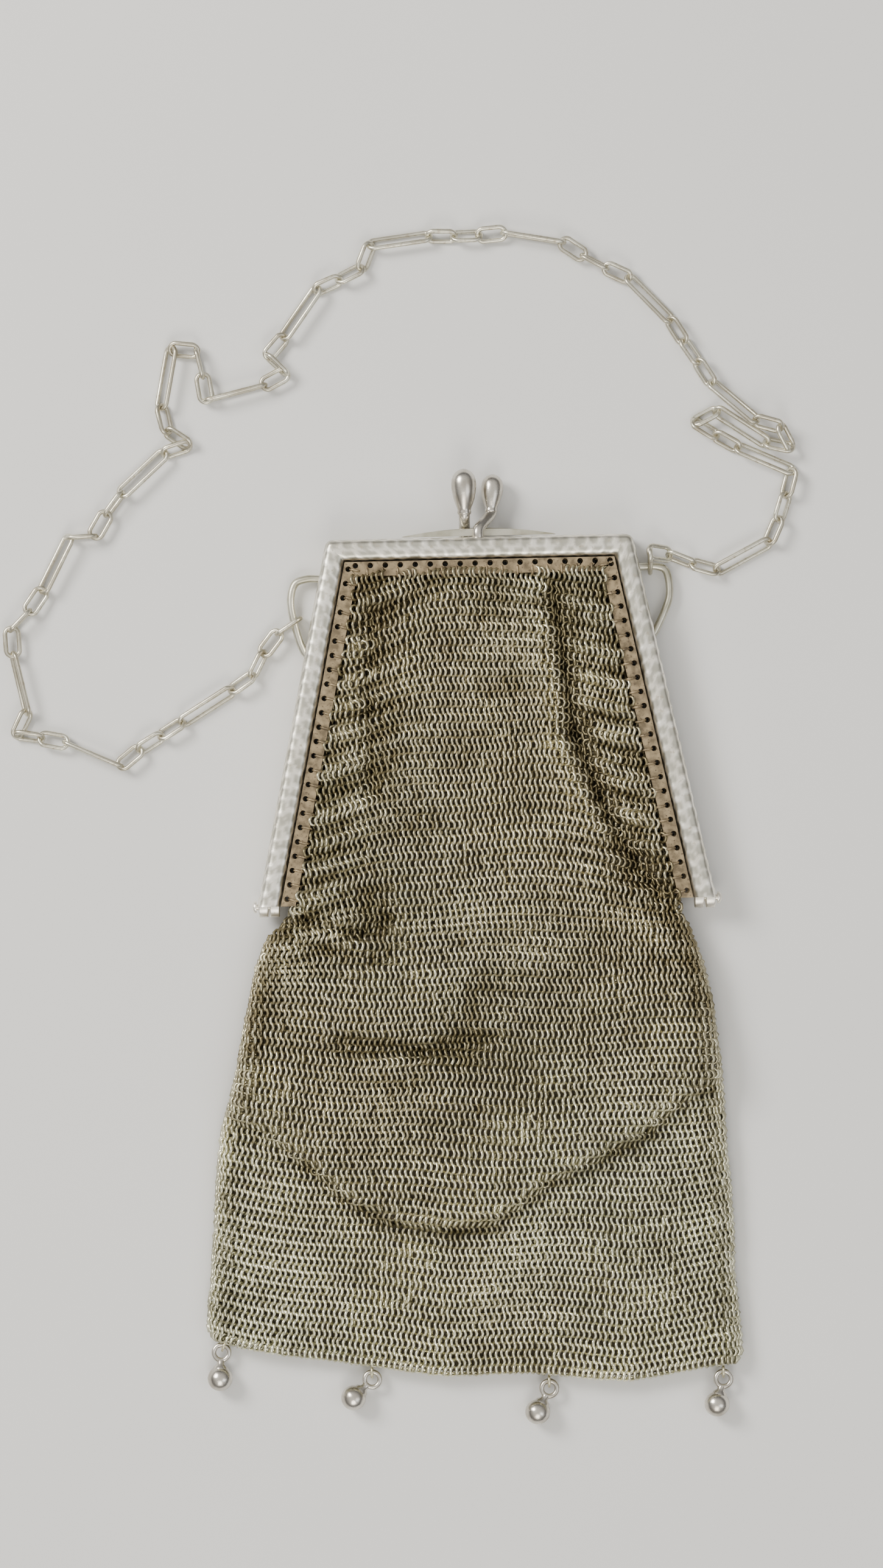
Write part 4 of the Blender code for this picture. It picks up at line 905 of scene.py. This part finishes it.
def rings(middle, slant, upright, radius, wire, around, sides):
    """Wire rings: round the middle on slant and upright, and round the wire at each place."""
    through = np.cross(slant, upright)
    small = full_turn(sides)
    ray = circle_on(full_turn(around), slant, upright)
    reach = radius + wire * np.cos(small)
    points = (middle[:, None, None] + ray[:, :, None] * reach[:, None]
              + (through[:, None] * (wire * np.sin(small))[:, None])[:, None])
    count = len(middle)
    numbers = np.arange(count * around * sides).reshape(count, around, sides)
    next_big = np.roll(numbers, -1, axis=1)
    faces = np.stack([numbers, next_big, np.roll(next_big, -1, axis=2),
                      np.roll(numbers, -1, axis=2)], axis=-1)
    return points.reshape(-1, 3), faces.reshape(-1, 4)


def ring_stains_and_painted_shade(middle, seed):
    """Brightness and tint of each ring: painted light on the banks of the relief, painted shade in
    its hollows and a painted shadow just under the big fold, long patches over the sheet, and
    chance from ring to ring.
    Below the big fold the sheet is paler and greener, above it browner. It is darkest high up,
    beside the legs and down both sides."""
    chance = np.random.default_rng(seed)
    x, y = middle[:, 0], middle[:, 1]
    past, _ = past_swag(x, y)
    low = held((past + 22 * mm) / (30 * mm))
    # Painted light and shade: rings on the banks of the relief are painted paler, rings in its
    # hollows darker.
    raised = np.clip(relief(x, y) / (0.7 * mm), -1.5, 1.0)
    left, right = bag_edges(BAG_TOP - y)
    to_edge = np.minimum(x - left, right - x)
    rim = bell(to_edge - 1.6 * mm, 2.2 * mm) * held((FOOT_Y - y) / (6 * mm))
    # Painted shadow: a dark band on the rings just under the big fold.
    under = bell(past - 1.6 * mm, 1.7 * mm)
    under = under * np.clip((1.02 - np.abs(x) / HALF_FOOT) / 0.2, 0.2, 1.0)
    to_leg = bell(leg_x(y, BAG_INSET) - np.abs(x), 6 * mm) * (y > FOOT_Y)
    x, y = x / mm, y / mm
    patches = np.sin(x * 0.13 + 1.3) * np.sin(y * 0.09 + 0.4) + 0.6 * np.sin(x * 0.07 - y * 0.11)
    dark = bell(x + 26, 13) * bell(y + 38, 26)
    high = bell(y + 8, 9)
    tone = (0.46 + 0.08 * patches + 0.26 * low + 0.28 * raised - 0.55 * under - 0.16 * dark
            - 0.20 * high - 0.30 * rim - 0.20 * to_leg + chance.normal(0.0, 0.12, len(x)))
    tint = 0.30 + 0.50 * low + 0.18 * np.sin(x * 0.06 + y * 0.05) + chance.normal(0.0, 0.08, len(x))
    return held(tone), held(tint)


ring_silver = Finish("ring_silver", Metallic=0.92)
ring_tone = ring_silver.named("tone")
ring_tint = ring_silver.named("tint")
# The rings' colour runs by tone from a dark end, used for painted shade as well as for darker
# rings, to a bright end, used for painted light as well as for paler rings.
ring_bright = ring_silver.mix(ring_tint, (0.90, 0.83, 0.58), (0.97, 0.96, 0.75))
ring_dark_and_painted_shade = ring_silver.mix(ring_tint, (0.22, 0.18, 0.10), (0.24, 0.22, 0.13))
ring_silver.feed("Base Color", ring_silver.mix(ring_tone, ring_dark_and_painted_shade, ring_bright))
ring_silver.feed("Roughness", 0.42 - 0.16 * ring_tone)
RING_PIECES = [
    # name, front, rows of the lattice as shares of all rings, segments round the ring and wire
    ("mesh_front", True, 3, 8, 4),
    ("mesh_back", False, 2, 5, 3),
]
for name, is_front, share_count, around, sides in RING_PIECES:
    middle, slant, upright = ring_field(is_front)
    cuts = np.linspace(0, len(middle), share_count + 1).astype(int)
    for number, (start, end) in enumerate(zip(cuts, cuts[1:]), start=1):
        chosen = slice(start, end)
        made = rings(middle[chosen], slant[chosen], upright[chosen], RING_RADIUS, RING_WIRE,
                     around, sides)
        tones, tints = ring_stains_and_painted_shade(middle[chosen], 20 + number)
        mesh_piece(f"{name}_{number}", [made], ring_silver, ["mesh_bag"],
                   weld=False, sharp=0, stains_and_painted_shade=[("tone", np.repeat(tones, around * sides)),
                                                ("tint", np.repeat(tints, around * sides))])

# Lacing: at every punched hole a loop of tarnished wire goes through the strip, over its inner
# edge and round the first rings of the mesh.
LACE_WIRE = 0.16 * mm
LACE_RISE = 0.66 * mm
LACE_SLACK = 0.1 * mm
LACE_IN_HOLE = 0.3 * mm
LACE_STRAY = 0.05
LACE_LEAN = 0.12


def lace_places():
    """Middle of each loop and its direction across the strip, for the legs and the top, at the
    middles of the cells that the holes were punched in."""
    reach = (STRIP_WIDTH - HOLE_INSET) / 2 + LACE_SLACK
    inset = STRIP_INSET - UNDER_BAR + HOLE_INSET + LACE_IN_HOLE + reach
    leg_y = FOOT_Y + (STRIP_TOP - FOOT_Y) * (np.arange(LEG_HOLES) + 0.5) / LEG_HOLES
    places, ways = [], []
    for side in (-1, 1):
        places.append(np.stack([side * leg_x(leg_y, inset), leg_y - reach * LEG_SLOPE], axis=1))
        ways.append(np.broadcast_to((side / LEG_STRETCH, LEG_SLOPE / LEG_STRETCH), (LEG_HOLES, 2)))
    across = STRIP_HALF * (2 * (np.arange(TOP_HOLES) + 0.5) / TOP_HOLES - 1.0)
    places.append(np.stack([across, np.full(TOP_HOLES, FRAME_TOP_Y - inset)], axis=1)[1:-1])
    ways.append(np.broadcast_to((0.0, 1.0), (TOP_HOLES - 2, 2)))
    return np.vstack(places), np.vstack(ways), reach


lace_middle, lace_way, lace_reach = lace_places()
for name, strip_low in (("lacing_front", STRIP_FRONT_Z), ("lacing_back", STRIP_DROP)):
    lace_chance = np.random.default_rng(31)
    count = len(lace_middle)
    middle = np.column_stack([lace_middle, np.full(count, strip_low + STRIP_THICK / 2)])
    slant = np.column_stack([lace_way, lace_chance.normal(0.0, LACE_STRAY, count)])
    slant = slant * lace_reach / LACE_RISE
    upright = np.column_stack([lace_chance.normal(0.0, LACE_LEAN, (count, 2)), np.ones(count)])
    mesh_piece(name, [rings(middle, slant, upright, LACE_RISE, LACE_WIRE, 14, 6)], tarnish,
               ["mesh_bag"], sharp=0)

# Behind the rings: a dark sheet of painted shade inside the bag. It stands for the shade inside the
# mesh and closes the view between the rings of the front and of the back.
INSIDE_EDGE = 0.6 * mm
INSIDE_SEAM = 1.2 * mm
INSIDE_FRONT_SINK = 1.70 * mm
INSIDE_BACK_SINK = 1.95 * mm
INSIDE_ROWS = 110
INSIDE_COLUMNS = 64
shade = Finish("mesh_inside_painted_shade", Roughness=0.8, Metallic=0.3)
shade.feed("Base Color", shade.mix(shade.grain(1.4 * mm), (0.13, 0.11, 0.075),
                                   (0.22, 0.19, 0.135)))
inner_down = np.linspace(INSIDE_EDGE, TO_SEAM + BAG_DEPTH - INSIDE_SEAM,
                         INSIDE_ROWS)
inner_left, inner_right = bag_edges(inner_down)
inner_limit = (inner_right - inner_left) / 2 - INSIDE_EDGE
inner_limit = inner_limit + (SIDE_ARC - SIDE_ROUND - INSIDE_SEAM) * seam_share(inner_down)
inner_across = np.linspace(-1.0, 1.0, INSIDE_COLUMNS)[None] * inner_limit[:, None]
inner_deep = np.broadcast_to(inner_down[:, None], inner_across.shape)
inner_front = bag_point(inner_across, inner_deep, True, INSIDE_FRONT_SINK)
inner_back = bag_point(inner_across, inner_deep, False, INSIDE_BACK_SINK)
inner_pairs = np.concatenate([inner_front, inner_back[:, ::-1]], axis=1)
inner_ends = [np.concatenate([half_row, half_row[::-1]])[None] for half_row in (
    (inner_front[0] + inner_back[0]) / 2, (inner_front[-1] + inner_back[-1]) / 2)]
mesh_piece("mesh_inside_painted_shade", [grid(np.concatenate([inner_ends[0], inner_pairs, inner_ends[1]]),
                                wrap_columns=True)],
           shade, ["mesh_bag"])

# Drops: four hollow silver balls, each of two halves with a fine seam between them, and each
# soldered to an eye that hangs on a ring of the lower seam.
EDGE_RING_RADIUS = 1.1 * mm
EDGE_RING_WIRE = 0.26 * mm
EDGE_RING_HANG = 0.55 * mm
EDGE_RING_PARTS = (20, 8)
FLOOR_CLEAR = 0.06 * mm
EYE_RADIUS = 1.5 * mm
EYE_WIRE = 0.5 * mm
BALL_RADIUS = 2.45 * mm
BALL_REACH = 5.1 * mm
BALL_SEAM = 1.015
NECK_RADIUS = 0.8 * mm
DROPS = [
    # across, ring_degrees, ball_degrees
    (-0.975, -112.0, -94.0), (-0.405, -90.0, -137.0),
    (0.285, -90.0, -118.0), (0.965, -90.0, -106.0),
]


def hem_point(across):
    """A point of the lower seam."""
    left = -BAG_SIDES[-1][1] * HALF_FOOT
    right = BAG_SIDES[-1][2] * HALF_FOOT
    depth = float(look_up(BAG_BOTTOM, across))
    return np.array([left + (across + 1.0) / 2 * (right - left), SEAM_TOP - depth * BAG_DEPTH,
                     BAG_HEM / 2])


def heading(degrees):
    return np.array([math.cos(math.radians(degrees)), math.sin(math.radians(degrees)), 0.0])


ball_bend = np.linspace(0.0, math.pi, 21)
ball_round = np.stack([-np.cos(ball_bend), np.sin(ball_bend)], axis=1) * BALL_RADIUS
ball_round[len(ball_round) // 2, 1] *= BALL_SEAM
neck_round = [(-BALL_REACH + EYE_RADIUS, 0.0), (-BALL_REACH + EYE_RADIUS, NECK_RADIUS * 0.9),
              (-BALL_RADIUS - 0.35 * mm, NECK_RADIUS), (-BALL_RADIUS + 0.1 * mm, NECK_RADIUS * 1.7),
              (-BALL_RADIUS + 0.7 * mm, NECK_RADIUS * 1.9), (-BALL_RADIUS + 0.9 * mm, 0.0)]
for number, (across, ring_degrees, ball_degrees) in enumerate(DROPS, start=1):
    edge_ring = hem_point(across) + heading(ring_degrees) * EDGE_RING_HANG
    eye = edge_ring + heading(ring_degrees) * EYE_RADIUS
    rise = BALL_RADIUS + FLOOR_CLEAR - eye[2]
    axis = unit(heading(ball_degrees) * BALL_REACH + np.array([0.0, 0.0, rise]))
    side = unit(np.cross((0.0, 0.0, 1.0), axis))
    ball = eye + axis * BALL_REACH
    surfaces = [rings(eye[None], axis[None], side[None], EYE_RADIUS, EYE_WIRE, 32, 12),
                turned(ball_round, ball, axis, 36), turned(neck_round, ball, axis, 20)]
    mesh_piece(f"drop_ball_{number}", surfaces, polish, [f"drop_{number}"],
               sharp=60.0)
    ring_axis = heading(ring_degrees)
    mesh_piece(f"edge_ring_{number}",
               [rings(edge_ring[None], ring_axis[None], np.array([[0.0, 0.0, 1.0]]),
                      EDGE_RING_RADIUS, EDGE_RING_WIRE, *EDGE_RING_PARTS)],
               ring_silver, ["mesh_bag"], sharp=0,
               stains_and_painted_shade=[(layer_name, np.full(math.prod(EDGE_RING_PARTS), value))
                       for layer_name, value in (("tone", 0.6), ("tint", 0.4))])

# Chain: soldered oval links of round silver wire, three short ones to a long one, laid up round
# the purse from one ear loop to the other and tangled once on the right.
LINK_WIRE = 0.9 * mm
LINK_WIDTH = 3.5 * mm
SHORT_LINK = 6.6 * mm
LONG_LINK = 13.3 * mm
LINK_STEPS = 32
LINK_SIDES = 10
LAP_SHARE = 0.42
SOLDER_SWELL = 0.10
LINKS = 65
LONG_EVERY = 4
LONG_FIRST = 5
SPLIT_JOINT = 33
END_SEAT = 1.25 * mm
SETTLE_ROUNDS = 1500
END_LINK_LEAN = math.radians(45.0)
LEFT_END_DOWN = 16.6 * mm
RIGHT_END_STAND_OFF = 2.2 * mm
CHAIN_LIFT = [
    # joint, height over the links below where the tangle crosses itself
    (48, 0.0 * mm), (49, 2.4 * mm), (50, 2.4 * mm), (51, 0.6 * mm), (52, 0.0 * mm),
]
CHAIN_ROUTE = [
    # joint, x and y in millimetres
    (1, -39.9, -16.0), (2, -42.9, -19.8), (3, -45.6, -23.8), (4, -49.4, -26.7),
    (5, -59.2, -32.8), (8, -71.3, -40.3), (9, -82.1, -36.4), (11, -91.2, -34.3),
    (12, -89.9, -29.5), (13, -91.8, -18.6), (14, -91.5, -14.0), (16, -86.1, -6.3),
    (17, -80.3, 3.1), (18, -75.9, 4.9), (20, -70.0, 12.2), (21, -61.2, 19.9),
    (22, -57.4, 21.2), (23, -61.0, 24.6), (24, -61.9, 29.4), (25, -59.3, 40.7),
    (26, -54.9, 39.8), (28, -52.4, 30.9), (29, -41.7, 33.3), (30, -37.9, 35.4),
    (31, -39.7, 39.6), (32, -37.3, 42.8), (33, -30.4, 51.2), (35, -22.4, 56.2),
    (36, -19.7, 59.4), (37, -8.8, 61.6), (40, 6.6, 61.8), (41, 17.6, 59.6),
    (44, 30.3, 52.6), (45, 38.4, 44.3), (48, 46.6, 31.8), (49, 54.7, 24.3),
    (50, 59.4, 22.6), (51, 61.8, 18.6), (52, 57.2, 19.6), (53, 46.9, 26.2),
    (54, 43.2, 24.2), (55, 47.0, 21.4), (56, 51.4, 18.8), (57, 62.1, 14.0),
    (60, 57.8, 0.3), (61, 47.2, -6.2), (62, 42.3, -4.3), (63, 38.3, -1.0),
]
CHAIN_TWIST = [
    # link, degrees
    (1, 0.0), (4, 45.0), (7, 45.0), (9, 0.0), (12, 45.0), (14, 0.0), (16, 0.0),
    (18, 90.0), (19, 90.0), (22, 45.0), (25, 45.0), (27, 0.0), (30, 0.0), (33, 45.0),
    (39, 45.0), (41, 0.0), (42, 0.0), (45, 45.0), (62, 45.0), (65, 0.0),
]


def link_length(number):
    is_long = number >= LONG_FIRST and (number - LONG_FIRST) % LONG_EVERY == 0
    return LONG_LINK if is_long and number < LINKS else SHORT_LINK


def lap(joint):
    """How far a link's end line runs past a joint."""
    return (LINK_WIRE + GAP) / 2 if joint == SPLIT_JOINT else LAP_SHARE * LINK_WIRE


def link_roll(number):
    twist = look_up(CHAIN_TWIST, number)
    return math.radians(twist + 90.0 * (number % 2))


def chain_joints():
    """Joints of the chain: the route's points, moved until each link has its own length."""
    half_width = (LINK_WIDTH - LINK_WIRE) / 2
    left = ear_route(LEFT_EAR, -1, 2)
    first = left[np.argmin(np.abs(left[:, 1] - (FRAME_TOP_Y - LEFT_END_DOWN)))]
    ear_y = FRAME_TOP_Y - RIGHT_EAR[0][0] * mm
    last = np.array([leg_x(ear_y) + RIGHT_END_STAND_OFF, ear_y, EAR_HEIGHT])
    short_reach = SHORT_LINK / 2 - LINK_WIRE / 2 - lap(0)
    pitch = np.array([link_length(k) - LINK_WIRE - lap(k - 1) - lap(k) for k in range(1, LINKS)])
    pitch[0] = END_SEAT + short_reach
    end_reach = (SHORT_LINK - LINK_WIDTH) / 2 + short_reach
    top = last + end_reach * np.array([0.0, math.cos(END_LINK_LEAN), math.sin(END_LINK_LEAN)])
    need = np.array([half_width * abs(math.sin(link_roll(k))) + LINK_WIRE / 2 + FLOOR_CLEAR
                     for k in range(1, LINKS + 1)])
    numbers = np.concatenate([[0], column(CHAIN_ROUTE, 0), [LINKS - 1]])
    along = np.concatenate([[0.0], np.cumsum(pitch)])
    places = np.empty((LINKS, 3))
    for axis in (0, 1):
        chosen = np.concatenate([[first[axis]], column(CHAIN_ROUTE, axis + 1) * mm, [top[axis]]])
        places[:, axis] = np.interp(along, along[numbers.astype(int)], chosen)
    lift = look_up(CHAIN_LIFT, np.arange(LINKS))
    places[1:-1, 2] = np.maximum(need[:-2], need[1:-1]) + lift[1:-1]
    places[0, 2] = EAR_HEIGHT
    places[-1, 2] = top[2]
    plan = np.sqrt(pitch ** 2 - np.diff(places[:, 2]) ** 2)
    for _ in range(SETTLE_ROUNDS):
        for k in range(LINKS - 1):
            run = places[k + 1, :2] - places[k, :2]
            length = math.hypot(*run)
            move = run * (length - plan[k]) / length
            loose = 0.0 if k == 0 else 0.5
            if k == LINKS - 2:
                loose = 1.0
            places[k, :2] += loose * move
            places[k + 1, :2] -= (1.0 - loose) * move
    return places, last


def link_surface(middle, axis, width, length, chance):
    """An oval link: two half rounds and two straight runs of wire, a little uneven, with a low
    swelling where it was soldered on one side."""
    half = (length - LINK_WIRE) / 2
    radius = (LINK_WIDTH - LINK_WIRE) / 2
    angle = full_turn(LINK_STEPS) + math.pi / LINK_STEPS
    along = radius * np.cos(angle) + np.sign(np.cos(angle)) * (half - radius)
    across = radius * np.sin(angle) * (1.0 + chance.normal(0.0, 0.02))
    path = middle + along[:, None] * axis + across[:, None] * width
    solder = bell(angle - chance.uniform(1.2, 1.9), 0.16)
    wire = LINK_WIRE / 2 * (1.0 + SOLDER_SWELL * solder + chance.normal(0.0, 0.012, len(angle)))
    return wire_along(path, wire, LINK_SIDES, np.cross(axis, width), closed=True)


chain_silver = Finish("chain_silver", Metallic=1.0)
chain_grain = chain_silver.grain(7 * mm, 3.0)
chain_spots = chain_silver.grain(0.8 * mm, 3.0)
chain_colour = chain_silver.patches(chain_grain, 0.35, 0.7, (0.76, 0.74, 0.63),
                                    (0.50, 0.46, 0.36))
chain_silver.feed("Base Color", chain_silver.patches(chain_spots, 0.52, 0.78, chain_colour,
                                                     (0.42, 0.36, 0.26)))
chain_silver.feed("Roughness", 0.22 + 0.28 * chain_spots)
chain_silver.bump(chain_silver.grain(0.3 * mm, 2.0), 0.015 * mm)
joints, ear_end = chain_joints()
link_chance = np.random.default_rng(5)
chain_runs = {"chain_left": [], "chain_right": []}
for number in range(1, LINKS + 1):
    start = ear_end if number == LINKS else joints[number - 1]
    end = joints[-1] if number == LINKS else joints[number]
    axis = unit(end - start)
    half = (link_length(number) - LINK_WIRE) / 2
    side = unit(np.cross((0.0, 0.0, 1.0), axis))
    roll = link_roll(number)
    width = side * math.cos(roll) + np.cross(axis, side) * math.sin(roll)
    if number == LINKS:
        middle = start + axis * (SHORT_LINK - LINK_WIDTH) / 2
    else:
        middle = end - axis * (half - lap(number))
    node = "chain_left" if number <= SPLIT_JOINT else "chain_right"
    chain_runs[node].append(link_surface(middle, axis, width, link_length(number), link_chance))
for node, surfaces in chain_runs.items():
    mesh_piece(f"{node}_links", surfaces, chain_silver, [node], sharp=0)
